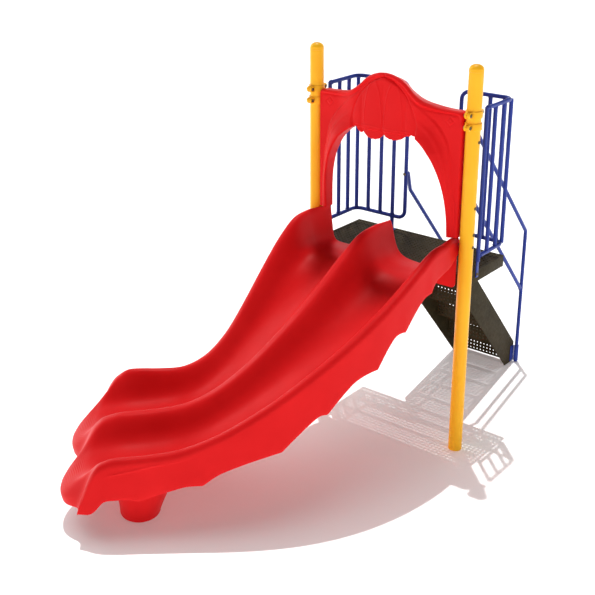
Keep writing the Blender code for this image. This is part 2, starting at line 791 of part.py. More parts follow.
# =====================================================================================
# deck and stair
# =====================================================================================
def build_deck():
    outer = box_mesh((-DECK_HALF_W, DECK_FRONT, DECK_H - DECK_SKIRT), (DECK_HALF_W, DECK_REAR, DECK_H))
    deck = make_object("deck", outer, BROWN_MAT)
    inset = DECK_PLATE
    hollow = box_mesh((-DECK_HALF_W + inset, DECK_FRONT + inset, DECK_H - DECK_SKIRT - 0.01),
                      (DECK_HALF_W - inset, DECK_REAR - inset, DECK_H - inset))
    tools = [make_object("hollow", hollow, BROWN_MAT)]
    for side in (-1, 1):
        x = side * POST_X
        tools.append(drill((x, 0, DECK_H - 0.2), (x, 0, DECK_H + 0.1), POST_R + POST_CLEARANCE, POST_SEGMENTS))
    for x in FLANGE_BOLT_X:
        tools.append(drill((x, DECK_FRONT - 0.02, FLANGE_BOLT_Z), (x, DECK_FRONT + 0.02, FLANGE_BOLT_Z)))
    for side in (-1, 1):
        y = BARRIER_REAR_Y - SIDE_PITCHES * BARRIER_PITCH
        tools.append(drill((side * (DECK_HALF_W - 0.02), y, TAB_BOLT_Z),
                           (side * (DECK_HALF_W + 0.02), y, TAB_BOLT_Z)))
    for x in barrier_feet():
        tools.append(drill((x, BARRIER_REAR_Y - FOOT_BOLT_BACK, DECK_H - 0.02),
                           (x, BARRIER_REAR_Y - FOOT_BOLT_BACK, DECK_H + 0.02)))
    cut(deck, tools)
    rib_top = DECK_H - DECK_PLATE - GAP
    for index, y in enumerate(RIB_YS):
        rib = box_mesh((-DECK_HALF_W + RIB_IN, y - RIB_HALF_W, DECK_H - DECK_SKIRT + RIB_UP),
                       (DECK_HALF_W - RIB_IN, y + RIB_HALF_W, rib_top))
        rib_obj = make_object("deck_rib_%d" % (index + 1), rib, BROWN_MAT)
        inside = RIB_HALF_W - RIB_WALL
        hollow = box_mesh((-1, y - inside, DECK_H - DECK_SKIRT), (1, y + inside, rib_top - RIB_TOP_T))
        cut(rib_obj, [make_object("hollow", hollow, BROWN_MAT)])


def build_deck_brackets():
    """Angle brackets that hang the deck's side skirts from the posts' rear faces."""
    for label, side in (("left", -1), ("right", 1)):
        inner = DECK_HALF_W - DECK_PLATE - GAP
        low = DECK_H - BRACKET_DROP
        high = DECK_H - DECK_PLATE - GAP
        x0, x1 = sorted((side * inner, side * (inner - BRACKET_T)))
        leg = box_mesh((x0, BRACKET_LEG_FRONT, low), (x1, BRACKET_LEG_REAR, high))
        bracket = make_object(label + "_deck_bracket", leg, BROWN_MAT)
        x0, x1 = sorted((side * inner, side * (inner - BRACKET_FACE_W)))
        face = box_mesh((x0, BRACKET_FRONT, low), (x1, BRACKET_FRONT + BRACKET_T, high))
        union(bracket, [make_object("face", face, BROWN_MAT)])


def stringer_edge(y):
    return STRINGER_TOP_Z - (y - DECK_REAR) * RISE / RUN


def build_stair():
    start_y = DECK_REAR + GAP
    foot_y = DECK_REAR + (STRINGER_TOP_Z - STRINGER_FACE) * RUN / RISE
    outline = [(start_y, stringer_edge(start_y)), (start_y, stringer_edge(start_y) - STRINGER_FACE),
               (foot_y, 0.0), (STRINGER_TOE_Y, 0.0), (STRINGER_TOE_Y, stringer_edge(STRINGER_TOE_Y))]
    place = lambda a, b, depth: Vector((depth, a, b))
    for label, side in (("left", -1), ("right", 1)):
        outside = STAIR_X + side * STAIR_HALF_W
        bm = prism_mesh(outline, outside, outside - side * STRINGER_T, place)
        stringer = make_object(label + "_stringer", bm, BROWN_MAT)
        x0, x1 = sorted((outside - side * STRINGER_T / 3, outside - side * HANGER_W))
        tab = box_mesh((x0, start_y, HANGER_LOW), (x1, start_y + HANGER_T, HANGER_HIGH))
        union(stringer, [make_object("tab", tab, BROWN_MAT)])
        cutters = []
        hole_y = HANDRAIL_Y - TOE_HOLE_BACK
        for z in TOE_BOLT_ZS:
            cutters.append(drill((outside - side * HOLE_REACH, hole_y, z), (outside + side * HOLE_REACH, hole_y, z)))
        cut(stringer, cutters)
    x0 = STAIR_X - STAIR_HALF_W + STRINGER_T + GAP
    x1 = STAIR_X + STAIR_HALF_W - STRINGER_T - GAP
    place = lambda a, b, depth: Vector((depth, a, b))
    for index in range(RISERS - 1):
        nose = FIRST_NOSE_Y + RUN * index
        back = nose - RUN + TREAD_T + GAP
        z = DECK_H - RISE * (index + 1)
        low = z - RISE + GAP if index < RISERS - 2 else TREAD_TOE
        step = [(back, z), (nose, z), (nose, low), (nose - TREAD_T, low), (nose - TREAD_T, z - TREAD_T),
                (back, z - TREAD_T)]
        make_object("tread_%d" % (index + 1), prism_mesh(step, x0, x1, place), BROWN_MAT)
    nose = FIRST_NOSE_Y - RUN
    riser = box_mesh((x0, nose - TREAD_T, DECK_H - RISE + GAP), (x1, nose, DECK_H - DECK_PLATE - GAP))
    make_object("top_riser", riser, BROWN_MAT)


# =====================================================================================
# barriers and handrails
# =====================================================================================
def barrier_feet():
    return LEFT_END_X - REAR_PITCH, RIGHT_END_X + REAR_PITCH


def build_barrier(label, side, end_x):
    """Welded frame: L-shaped loop of tube, side and rear pickets, side tab, rear foot."""
    x = side * BARRIER_X
    y = BARRIER_REAR_Y
    end_y = y - SIDE_PITCHES * BARRIER_PITCH
    loop = [(x, end_y, BARRIER_TOP), (x, y, BARRIER_TOP), (end_x, y, BARRIER_TOP), (end_x, y, BARRIER_BOTTOM),
            (x, y, BARRIER_BOTTOM), (x, end_y, BARRIER_BOTTOM)]
    frame = make_object(label + "_barrier", tube_mesh(rounded_path(loop, END_BEND)), BLUE_MAT)
    pieces = [tube("post", [(x, end_y, BARRIER_TOP + TUBE_SINK), (x, end_y, TAB_TOP - 0.01)], BLUE_MAT)]
    for k in range(1, SIDE_PITCHES):
        picket_y = y - k * BARRIER_PITCH
        pieces.append(tube("picket", [(x, picket_y, BARRIER_BOTTOM), (x, picket_y, BARRIER_TOP)], BLUE_MAT))
    corner = (x - side * CORNER_INSET, y - CORNER_INSET)
    pieces.append(tube("picket", [(*corner, BARRIER_BOTTOM), (*corner, BARRIER_TOP)], BLUE_MAT))
    inward = -side
    foot_x = end_x - inward * REAR_PITCH
    k = 1
    while abs(end_x - inward * REAR_PITCH * k) < BARRIER_X - 0.04:
        picket_x = end_x - inward * REAR_PITCH * k
        bottom = DECK_H + TUBE_SINK if k == 1 else BARRIER_BOTTOM
        pieces.append(tube("picket", [(picket_x, y, bottom), (picket_x, y, BARRIER_TOP)], BLUE_MAT))
        k += 1
    tab_x = sorted((side * (DECK_HALF_W + GAP), side * (DECK_HALF_W + GAP + TAB_T)))
    tab = box_mesh((tab_x[0], end_y - TAB_W / 2, TAB_BOTTOM), (tab_x[1], end_y + TAB_W / 2, TAB_TOP))
    pieces.append(make_object("tab", tab, BLUE_MAT))
    plate = box_mesh((foot_x - FOOT_HALF_W, y - FOOT_BACK, DECK_H + GAP),
                     (foot_x + FOOT_HALF_W, y + FOOT_FRONT, DECK_H + GAP + FOOT_T))
    pieces.append(make_object("plate", plate, BLUE_MAT))
    union(frame, pieces)
    cutters = []
    for z in (TAB_BOLT_Z, TAB_HOLE_Z):
        cutters.append(drill((side * (DECK_HALF_W - 0.02), end_y, z), (side * (DECK_HALF_W + 0.02), end_y, z)))
    bolt_y = y - FOOT_BOLT_BACK
    cutters.append(drill((foot_x, bolt_y, DECK_H - 0.02), (foot_x, bolt_y, DECK_H + 0.03)))
    for z in (UPPER_RAIL_Z, LOWER_RAIL_Z):
        cutters.append(drill((end_x, y - HOLE_REACH, z), (end_x, y + HOLE_REACH, z)))
    cut(frame, cutters)
    head_x = side * (DECK_HALF_W + GAP + TAB_T + GAP)
    tip_x = head_x - side * FRAME_BOLT
    bolt(label + "_tab_bolt", (head_x, end_y, TAB_BOLT_Z), (tip_x, end_y, TAB_BOLT_Z), nut=FRAME_NUT)
    head_z = DECK_H + 2 * GAP + FOOT_T
    tip = (foot_x, bolt_y, head_z - FRAME_BOLT)
    bolt(label + "_foot_bolt", (foot_x, bolt_y, head_z), tip, nut=FRAME_NUT)


def build_handrail(label, side, end_x):
    """Bent rail with a parallel lower rail welded to its upright; both meet the barrier's end tube."""
    x = STAIR_X + side * (STAIR_HALF_W + HANDRAIL_OUT)
    y0 = BARRIER_REAR_Y + RAIL_R + GAP
    slope = (UPPER_RAIL_Z - BEND_Z) / (HANDRAIL_Y - BARRIER_REAR_Y)
    turn_y = y0 + RAIL_TURN

    def run(z_start, z_end):
        z_turn = z_start - (turn_y - BARRIER_REAR_Y) * slope
        return [(end_x, y0, z_start), (end_x, y0 + RAIL_STUB, z_start), (x, turn_y, z_turn), (x, HANDRAIL_Y, z_end)]

    upper = run(UPPER_RAIL_Z, BEND_Z) + [(x, HANDRAIL_Y, 0.0)]
    rail = make_object(label + "_handrail", tube_mesh(rounded_path(upper, RAIL_BEND)), BLUE_MAT)
    lower = run(LOWER_RAIL_Z, JOINT_Z)
    union(rail, [make_object("lower", tube_mesh(rounded_path(lower, RAIL_BEND)), BLUE_MAT)])
    cutters = []
    for z in (UPPER_RAIL_Z, LOWER_RAIL_Z):
        cutters.append(drill((end_x, y0 - 0.01, z), (end_x, y0 + RAIL_BOLT + 0.001, z)))
    cut(rail, cutters)
    for where, z in (("upper", UPPER_RAIL_Z), ("lower", LOWER_RAIL_Z)):
        head = (end_x, BARRIER_REAR_Y - RAIL_R - GAP, z)
        bolt(label + "_" + where + "_rail_bolt", head, (end_x, y0 + RAIL_BOLT, z))
    build_rail_bracket(label, side, x)


def build_rail_bracket(label, side, rail_x):
    """Plate between the stringer's toe and the rail's foot, cupped around the tube."""
    face = STAIR_X + side * (STAIR_HALF_W + GAP)
    x0, x1 = sorted((face, face + side * PLATE_T))
    plate = box_mesh((x0, HANDRAIL_Y - PLATE_BACK, PLATE_LOW), (x1, HANDRAIL_Y - 0.0005, PLATE_HIGH))
    bracket = make_object(label + "_rail_bracket", plate, BLUE_MAT)
    x0, x1 = sorted((face, rail_x + side * (RAIL_R + SADDLE_WALL)))
    saddle = box_mesh((x0, HANDRAIL_Y - SADDLE_BACK, PLATE_LOW), (x1, HANDRAIL_Y + SADDLE_FRONT, PLATE_HIGH))
    union(bracket, [make_object("saddle", saddle, BLUE_MAT)])
    cutters = [drill((rail_x, HANDRAIL_Y, -0.1), (rail_x, HANDRAIL_Y, 0.3), RAIL_R + 2 * GAP, 16)]
    hole_y = HANDRAIL_Y - PLATE_HOLE_BACK
    for z in TOE_BOLT_ZS:
        cutters.append(drill((face - side * HOLE_REACH, hole_y, z), (face + side * HOLE_REACH, hole_y, z)))
    cut(bracket, cutters)


# =====================================================================================
# through-bolts
# =====================================================================================
def build_bolts():
    for label, side in (("left", -1), ("right", 1)):
        head_x = side * (POST_X + POST_R + GAP)
        for index, z in enumerate(ARCH_BOLT_Z):
            bolt("%s_arch_bolt_%d" % (label, index + 1), (head_x, 0, z), (side * (ARCH_HALF_W - 0.035), 0, z))
        bolt(label + "_chute_bolt", (head_x, 0, CHUTE_BOLT_Z), (side * 0.508, 0, CHUTE_BOLT_Z))
    for index, x in enumerate(FLANGE_BOLT_X):
        head = (x, CHUTE_START_Y - FLANGE_T - GAP, FLANGE_BOLT_Z)
        bolt("flange_bolt_%d" % (index + 1), head, (x, DECK_FRONT + 0.014, FLANGE_BOLT_Z), nut=0.0095)


clear_scene()
ROOT = bpy.data.objects.new("wave_slide", None)
bpy.context.scene.collection.objects.link(ROOT)
RED_MAT = material("moulded_red", RED, 0.30, 0.0)
YELLOW_MAT = material("yellow_coat", YELLOW, 0.30, 0.0)
BLUE_MAT = material("blue_coat", BLUE, 0.35, 0.0)
BROWN_MAT = material("brown_vinyl", BROWN, 0.55, 0.0)
ZINC_MAT = material("zinc_bolt", ZINC, 0.35, 1.0)

build_posts()
build_collars()
build_arch()
build_chute()
build_feet()
build_deck()
build_deck_brackets()
build_stair()
build_barrier("left", -1, LEFT_END_X)
build_barrier("right", 1, RIGHT_END_X)
build_handrail("left", -1, LEFT_END_X)
build_handrail("right", 1, RIGHT_END_X)
build_bolts()
ROOT.location = (-ROW_ORIGIN_X, -ROW_ORIGIN_Y, 0.0)
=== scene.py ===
"""Looks of the double wave slide: fine surfaces, perforated plates, materials, light and camera."""

import math

import bmesh
import bpy
import numpy as np
from mathutils import Matrix, Vector


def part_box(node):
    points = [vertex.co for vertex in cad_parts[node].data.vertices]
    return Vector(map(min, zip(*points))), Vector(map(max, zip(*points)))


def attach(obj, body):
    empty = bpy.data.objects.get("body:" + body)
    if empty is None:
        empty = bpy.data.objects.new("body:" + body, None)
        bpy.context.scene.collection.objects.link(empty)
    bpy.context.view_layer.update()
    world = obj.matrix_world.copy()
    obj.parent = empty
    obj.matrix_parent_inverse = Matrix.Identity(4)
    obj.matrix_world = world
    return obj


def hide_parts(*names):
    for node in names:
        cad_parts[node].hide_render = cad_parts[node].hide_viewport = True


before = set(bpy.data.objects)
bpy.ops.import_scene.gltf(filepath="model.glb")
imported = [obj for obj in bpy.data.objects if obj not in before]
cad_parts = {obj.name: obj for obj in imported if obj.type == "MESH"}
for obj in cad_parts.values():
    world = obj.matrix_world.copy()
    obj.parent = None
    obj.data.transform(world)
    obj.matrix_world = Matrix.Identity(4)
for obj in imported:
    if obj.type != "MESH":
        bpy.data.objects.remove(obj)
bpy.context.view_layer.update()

# ---- places read from the frame -------------------------------------------------------
LEFT_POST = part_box("left_post")
RIGHT_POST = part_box("right_post")
MID = (LEFT_POST[0] + LEFT_POST[1] + RIGHT_POST[0] + RIGHT_POST[1]) / 4
MID.z = 0.0
POST_X = (RIGHT_POST[0].x + RIGHT_POST[1].x - LEFT_POST[0].x - LEFT_POST[1].x) / 4
POST_R = 0.0889 / 2
POST_TOP = LEFT_POST[1].z
CAP_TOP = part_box("left_post_cap")[1].z
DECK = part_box("deck")
DECK_H = DECK[1].z
DECK_FRONT = DECK[0].y - MID.y
DECK_REAR = DECK[1].y - MID.y
DECK_HALF = (DECK[1].x - DECK[0].x) / 2
GAP = 0.0003
RAIL_R = 0.0267 / 2


def at(x, y, z):
    """Point given from the middle of the post line, as a row point."""
    return Vector((x + MID.x, y + MID.y, z))


def local(node):
    """A node's box, measured from the middle of the post line."""
    low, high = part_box(node)
    return low - MID, high - MID


# =====================================================================================
# materials
# =====================================================================================
class Nodes:
    """Short way to wire a material's nodes."""

    def __init__(self, name):
        self.mat = bpy.data.materials.new(name)
        self.mat.use_nodes = True
        self.tree = self.mat.node_tree
        self.shader = self.tree.nodes["Principled BSDF"]
        self.place = self.add("ShaderNodeNewGeometry").outputs["Position"]

    def add(self, kind, **values):
        node = self.tree.nodes.new(kind)
        for key, value in values.items():
            if hasattr(node, key):
                setattr(node, key, value)
            else:
                node.inputs[key.replace("_", " ")].default_value = value
        return node

    def link(self, source, target):
        self.tree.links.new(source, target)

    def noise(self, scale, detail=3.0, rough=0.55, stretch=None):
        node = self.add("ShaderNodeTexNoise")
        node.inputs["Scale"].default_value = scale
        node.inputs["Detail"].default_value = detail
        node.inputs["Roughness"].default_value = rough
        if stretch is None:
            self.link(self.place, node.inputs["Vector"])
        else:
            mapping = self.add("ShaderNodeMapping")
            mapping.inputs["Scale"].default_value = stretch
            self.link(self.place, mapping.inputs["Vector"])
            self.link(mapping.outputs["Vector"], node.inputs["Vector"])
        return node.outputs["Fac"]

    def remap(self, source, low, high, out_low, out_high):
        node = self.add("ShaderNodeMapRange")
        for key, value in (("From Min", low), ("From Max", high), ("To Min", out_low), ("To Max", out_high)):
            node.inputs[key].default_value = value
        self.link(source, node.inputs["Value"])
        return node.outputs["Result"]

    def mix(self, factor, first, second):
        node = self.add("ShaderNodeMix", data_type="RGBA")
        for socket, value in ((node.inputs[0], factor), (node.inputs[6], first), (node.inputs[7], second)):
            if isinstance(value, tuple):
                socket.default_value = (*value, 1.0)
            elif isinstance(value, float):
                socket.default_value = value
            else:
                self.link(value, socket)
        return node.outputs[2]

    def edges(self, low=0.52, high=0.60):
        """1 on sharp convex edges, 0 elsewhere; the mask for painted edge highlights."""
        pointiness = self.add("ShaderNodeNewGeometry").outputs["Pointiness"]
        return self.remap(pointiness, low, high, 0.0, 1.0)

    def bumps(self, *layers):
        """Bump from (height socket, distance in metres) layers, chained."""
        normal = None
        for height, distance in layers:
            node = self.add("ShaderNodeBump")
            node.inputs["Strength"].default_value = 1.0
            node.inputs["Distance"].default_value = distance
            self.link(height, node.inputs["Height"])
            if normal is not None:
                self.link(normal, node.inputs["Normal"])
            normal = node.outputs["Normal"]
        self.link(normal, self.shader.inputs["Normal"])

    def set(self, **values):
        for key, value in values.items():
            socket = self.shader.inputs[key.replace("_", " ")]
            if hasattr(value, "is_linked"):
                self.link(value, socket)
            elif isinstance(value, tuple):
                socket.default_value = (*value, 1.0)
            else:
                socket.default_value = value


def moulded_red():
    m = Nodes("moulded_red_plastic")
    cloud = m.remap(m.noise(3.1, 3), 0.3, 0.7, 0.0, 1.0)
    speck = m.remap(m.noise(420.0, 2), 0.35, 0.65, 0.0, 0.10)
    tint = m.mix(cloud, (0.70, 0.0085, 0.0105), (0.78, 0.012, 0.014))
    tint = m.mix(speck, tint, (0.84, 0.03, 0.03))
    # brighter red on sharp convex edges: painted highlight along rims and edges
    tint = m.mix(m.remap(m.edges(0.52, 0.60), 0.0, 1.0, 0.0, 0.35), tint, (0.92, 0.040, 0.040))
    rubbed = m.remap(m.noise(7.0, 4), 0.45, 0.75, 0.0, 1.0)
    m.set(Base_Color=tint, Roughness=m.remap(rubbed, 0.0, 1.0, 0.42, 0.50))
    m.set(Specular_IOR_Level=0.12, Specular_Tint=(1.0, 0.40, 0.38))
    m.bumps((m.noise(11.0, 2), 0.0008), (m.noise(900.0, 2), 0.00005))
    return m.mat


def yellow_coat():
    m = Nodes("yellow_powder_coat")
    cloud = m.remap(m.noise(4.0, 2), 0.3, 0.7, 0.0, 1.0)
    tint = m.mix(cloud, (1.0, 0.47, 0.016), (1.0, 0.52, 0.024))
    # lighter yellow on sharp convex edges: painted highlight
    tint = m.mix(m.remap(m.edges(0.55, 0.7), 0.0, 1.0, 0.0, 0.4), tint, (1.0, 0.60, 0.08))
    m.set(Base_Color=tint, Roughness=m.remap(m.noise(30.0, 3), 0.3, 0.7, 0.28, 0.40))
    m.set(Specular_IOR_Level=0.22, Specular_Tint=(1.0, 0.85, 0.5))
    m.bumps((m.noise(230.0, 2), 0.00010), (m.noise(1400.0, 1), 0.00003))
    return m.mat


def blue_coat():
    m = Nodes("blue_powder_coat")
    cloud = m.remap(m.noise(6.0, 2), 0.3, 0.7, 0.0, 1.0)
    tint = m.mix(cloud, (0.020, 0.040, 0.270), (0.028, 0.052, 0.320))
    # lighter blue on sharp convex edges: painted highlight
    tint = m.mix(m.remap(m.edges(0.56, 0.75), 0.0, 1.0, 0.0, 0.4), tint, (0.06, 0.10, 0.42))
    m.set(Base_Color=tint, Roughness=m.remap(m.noise(40.0, 3), 0.3, 0.7, 0.28, 0.40))
    m.set(Specular_IOR_Level=0.26, Specular_Tint=(0.6, 0.7, 1.0))
    m.bumps((m.noise(260.0, 2), 0.00010), (m.noise(1500.0, 1), 0.00003))
    return m.mat


def brown_vinyl():
    m = Nodes("brown_dipped_vinyl")
    cloud = m.remap(m.noise(9.0, 4), 0.3, 0.7, 0.0, 1.0)
    tint = m.mix(cloud, (0.028, 0.021, 0.009), (0.043, 0.032, 0.015))
    worn = m.remap(m.noise(26.0, 5), 0.52, 0.72, 0.0, 0.30)
    tint = m.mix(worn, tint, (0.068, 0.052, 0.028))
    m.set(Base_Color=tint, Roughness=m.remap(m.noise(60.0, 3), 0.3, 0.7, 0.50, 0.66))
    m.set(Specular_IOR_Level=0.10, Specular_Tint=(1.0, 0.85, 0.6))
    m.bumps((m.noise(85.0, 3), 0.0005), (m.noise(520.0, 2), 0.00012))
    return m.mat


def zinc_and_painted_shade():
    m = Nodes("zinc_plate_and_painted_shade")
    brushed = m.noise(420.0, 3)
    dull = m.remap(m.noise(90.0, 3), 0.3, 0.7, 0.0, 1.0)
    # zinc metal darkened to dark brown: painted shade standing in for the shadowed bolt sockets
    tint = m.mix(dull, (0.10, 0.072, 0.038), (0.19, 0.145, 0.085))
    m.set(Base_Color=tint, Metallic=0.6, Roughness=m.remap(brushed, 0.3, 0.7, 0.34, 0.52))
    m.bumps((brushed, 0.00008))
    return m.mat


def floor_white():
    m = Nodes("studio_floor")
    grain = m.remap(m.noise(1.3, 2), 0.3, 0.7, 0.0, 1.0)
    m.set(Base_Color=m.mix(grain, (0.86, 0.86, 0.86), (0.875, 0.875, 0.875)), Roughness=0.85)
    # faint pinkish glow: painted light that lifts the floor's shadows and tints them like red bounce light
    m.set(Specular_IOR_Level=0.1, Emission_Color=(1.0, 0.93, 0.92), Emission_Strength=0.13)
    return m.mat


RED = moulded_red()
YELLOW = yellow_coat()
BLUE = blue_coat()
BROWN = brown_vinyl()
ZINC_AND_PAINTED_SHADE = zinc_and_painted_shade()
SLOTS = {"moulded_red": RED, "yellow_coat": YELLOW, "blue_coat": BLUE, "brown_vinyl": BROWN,
         "zinc_bolt": ZINC_AND_PAINTED_SHADE}


# =====================================================================================
# mesh helpers
# =====================================================================================
def smoothstep(t):
    t = np.clip(t, 0.0, 1.0)
    return t * t * (3 - 2 * t)


class Shape:
    """Collects closed shells, then becomes one object."""

    def __init__(self):
        self.points = []
        self.faces = []
        self.count = 0

    def add(self, points, faces):
        points = np.asarray(points, float).reshape(-1, 3)
        self.points.append(points)
        self.faces.extend([tuple(i + self.count for i in face) for face in faces])
        self.count += len(points)

    def add_bmesh(self, bm):
        bm.verts.index_update()
        self.add([tuple(v.co) for v in bm.verts], [tuple(v.index for v in f.verts) for f in bm.faces])
        bm.free()

    def finish(self, name, slot, nodes, sharp=35.0):
        mesh = bpy.data.meshes.new(name)
        mesh.from_pydata(np.concatenate(self.points).tolist(), [], self.faces)
        mesh.validate()
        bm = bmesh.new()
        bm.from_mesh(mesh)
        bmesh.ops.recalc_face_normals(bm, faces=bm.faces)
        bm.to_mesh(mesh)
        bm.free()
        mesh.shade_smooth()
        mesh.set_sharp_from_angle(angle=math.radians(sharp))
        mesh.materials.append(SLOTS[slot])
        obj = bpy.data.objects.new(name, mesh)
        bpy.context.scene.collection.objects.link(obj)
        obj.location = MID
        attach(obj, "root")
        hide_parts(*nodes)
        return obj


def loft(rings, closed=True, caps=True):
    """Faces of a stack of equal rings of points."""
    rings = np.asarray(rings, float)
    rows, size = rings.shape[:2]
    faces = []
    last = size if closed else size - 1
    for i in range(rows - 1):
        for k in range(last):
            m = (k + 1) % size
            faces.append((i * size + k, i * size + m, (i + 1) * size + m, (i + 1) * size + k))
    if caps:
        faces.append(tuple(range(size - 1, -1, -1)))
        faces.append(tuple((rows - 1) * size + k for k in range(size)))
    return rings.reshape(-1, 3), faces


def box(low, high, edge=0.0008):
    """Box with small rounded edges."""
    bm = bmesh.new()
    bmesh.ops.create_cube(bm, size=1.0)
    low = Vector([min(a, b) for a, b in zip(low, high)]), Vector([max(a, b) for a, b in zip(low, high)])
    bmesh.ops.scale(bm, vec=low[1] - low[0], verts=bm.verts)
    bmesh.ops.translate(bm, vec=(low[0] + low[1]) / 2, verts=bm.verts)
    bmesh.ops.bevel(bm, geom=list(bm.edges), offset=edge, segments=2, profile=0.5, affect="EDGES")
    return bm


def turned(profile, start, axis, segments=32, socket=None):
    """Lathe shell around an axis; socket is the profile index that is drawn six-sided."""
    axis = Vector(axis).normalized()
    turn = Vector((0, 0, 1)).rotation_difference(axis).to_matrix()
    points = []
    faces = []
    rings = []
    for index, (radius, height) in enumerate(profile):
        if radius < 1e-9:
            rings.append([len(points)])
            points.append(Vector(start) + turn @ Vector((0, 0, height)))
            continue
        ring = []
        for k in range(segments):
            angle = 2 * math.pi * (k + 0.5) / segments
            r = radius
            if socket and index in socket:
                flat = (angle + math.pi / 6) % (math.pi / 3) - math.pi / 6
                r = radius / math.cos(flat)
            ring.append(len(points))
            points.append(Vector(start) + turn @ Vector((r * math.cos(angle), r * math.sin(angle), height)))
        rings.append(ring)
    closed = len(rings[0]) > 1
    for i in range(len(rings) if closed else len(rings) - 1):
        a = rings[i]
        b = rings[(i + 1) % len(rings)]
        for k in range(segments):
            m = (k + 1) % segments
            if len(a) == 1:
                faces.append((a[0], b[k], b[m]))
            elif len(b) == 1:
                faces.append((a[k], a[m], b[0]))
            else:
                faces.append((a[k], a[m], b[m], b[k]))
    return [tuple(p) for p in points], faces


def rounded_path(corners, radius, steps=8):
    """Polyline with each inner corner turned into a circular bend."""
    corners = [Vector(c) for c in corners]
    points = [corners[0]]
    for before, corner, after in zip(corners, corners[1:], corners[2:]):
        to_before = (before - corner).normalized()
        to_after = (after - corner).normalized()
        opening = to_before.angle(to_after)
        if opening > math.radians(177):
            points.append(corner)
            continue
        tangent = radius / math.tan(opening / 2)
        reach = min(tangent, 0.47 * (before - corner).length, 0.47 * (after - corner).length)
        bend = reach * math.tan(opening / 2)
        centre = corner + (to_before + to_after).normalized() * bend / math.sin(opening / 2)
        first = corner + to_before * reach - centre
        final = corner + to_after * reach - centre
        sweep = first.angle(final)
        for k in range(steps + 1):
            f = k / steps
            mixed = math.sin((1 - f) * sweep) * first + math.sin(f * sweep) * final
            points.append(centre + mixed / math.sin(sweep))
    points.append(corners[-1])
    return points


def tube(corners, bend=0.055, radius=RAIL_R, segments=20):
    """Round bar along a bent path, with capped ends."""
    points = rounded_path(corners, bend)
    direction = (points[1] - points[0]).normalized()
    helper = Vector((0, 0, 1)) if abs(direction.z) < 0.9 else Vector((1, 0, 0))
    side = direction.cross(helper).normalized()
    rings = []
    for i, point in enumerate(points):
        ahead = points[min(i + 1, len(points) - 1)] - point
        behind = point - points[max(i - 1, 0)]
        tangent = (ahead.normalized() + behind.normalized()).normalized()
        side = (side - tangent * side.dot(tangent)).normalized()
        up = tangent.cross(side)
        ring = []
        for k in range(segments):
            angle = 2 * math.pi * k / segments
            ring.append(point + radius * (math.cos(angle) * side + math.sin(angle) * up))
        rings.append([tuple(p) for p in ring])
    return loft(rings)


def weld_bead(centre, axis, radius=RAIL_R):
    """Small fillet ring where one tube meets another."""
    profile = [(radius - 0.001, 0.0), (radius + 0.0035, 0.0), (radius + 0.0026, 0.0016),
               (radius + 0.0012, 0.0034), (radius - 0.001, 0.0045)]
    return turned(profile, centre, axis, 20)


def plate(outline, holes, thickness, place, hole_sides=10):
    """Flat plate with round holes. place(a, b, depth) gives the point."""
    bm = bmesh.new()
    loops = [list(outline)]
    for cx, cy, radius in holes:
        ring = []
        for k in range(hole_sides):
            angle = 2 * math.pi * k / hole_sides
            ring.append((cx + radius * math.cos(angle), cy + radius * math.sin(angle)))
        loops.append(ring)
    for ring in loops:
        verts = [bm.verts.new((a, b, 0.0)) for a, b in ring]
        for first, second in zip(verts, verts[1:] + verts[:1]):
            bm.edges.new((first, second))
    bmesh.ops.triangle_fill(bm, use_beauty=True, use_dissolve=False, edges=list(bm.edges))
    made = bmesh.ops.extrude_face_region(bm, geom=list(bm.faces))
    moved = [g for g in made["geom"] if isinstance(g, bmesh.types.BMVert)]
    bmesh.ops.translate(bm, vec=(0, 0, thickness), verts=moved)
    for vert in bm.verts:
        vert.co = place(vert.co.x, vert.co.y, vert.co.z)
    return bm


# =====================================================================================
# chute
# =====================================================================================
CHUTE_START_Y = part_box("slide_chute")[1].y - MID.y
BEND_START, BEND_END, BEND_ANGLE = 0.26, 1.69, math.radians(47.5)
CREST_HALF = 0.524
CHUTE_CENTRE = CREST_HALF / 2
ENTRY_SQUEEZE, SQUEEZE_LENGTH = 0.031, 0.20
RIM_OUT, RIM_DROP, SKIRT_FLARE, SHELL = 0.030, 0.040, 0.010, 0.008
NOSE_START = 1.95
CREST_S = (0.00, 0.18, 0.32, 0.46, 0.70, 0.99, 1.25, 1.43, 1.60, 1.78, 1.95)
CREST_Z = (1.468, 1.478, 1.462, 1.388, 1.221, 0.993, 0.777, 0.652, 0.577, 0.548, 0.536)
DEPTH_S = (0.00, 0.30, 0.52, 0.75, 1.10, 1.95)
DEPTH_Z = (0.243, 0.235, 0.207, 0.180, 0.168, 0.159)
# Scalloped lower edge of the skirts: tips (deep) and hollows between them.
TIP_S = (0.00, 0.37, 0.57, 0.735, 0.975, 1.165, 1.500, 1.840, 1.95)
TIP_D = (0.078, 0.208, 0.252, 0.296, 0.293, 0.311, 0.244, 0.256, 0.240)
HOLLOW_S = (0.30, 0.43, 0.63, 0.85, 1.015, 1.42, 1.60, 1.93)
HOLLOW_D = (0.170, 0.190, 0.214, 0.242, 0.266, 0.221, 0.215, 0.241)
NOSE_T = (0.0, 0.25, 0.50, 0.70, 0.85, 0.95, 1.0)
FLOOR_NOSE_S = (1.950, 2.075, 2.195, 2.275, 2.320, 2.333, 2.325)
FLOOR_NOSE_Z = (0.377, 0.362, 0.334, 0.292, 0.245, 0.207, 0.178)
CREST_NOSE_S = (1.950, 2.028, 2.108, 2.168, 2.215, 2.240, 2.252)
CREST_NOSE_Z = (0.536, 0.521, 0.486, 0.414, 0.315, 0.255, 0.208)
SKIRT_NOSE_S = (1.950, 2.030, 2.066, 2.088, 2.107, 2.125, 2.140)
SKIRT_NOSE_Z = (0.296, 0.290, 0.262, 0.236, 0.219, 0.209, 0.206)
# the nose takes over from the run with the same fall
CREST_NOSE_SLOPE, FLOOR_NOSE_SLOPE = -0.022, -0.030
SIDE_PULLBACK = 0.055
LIP_ARC = 0.060
INNER_RIM_LIFT = 0.030


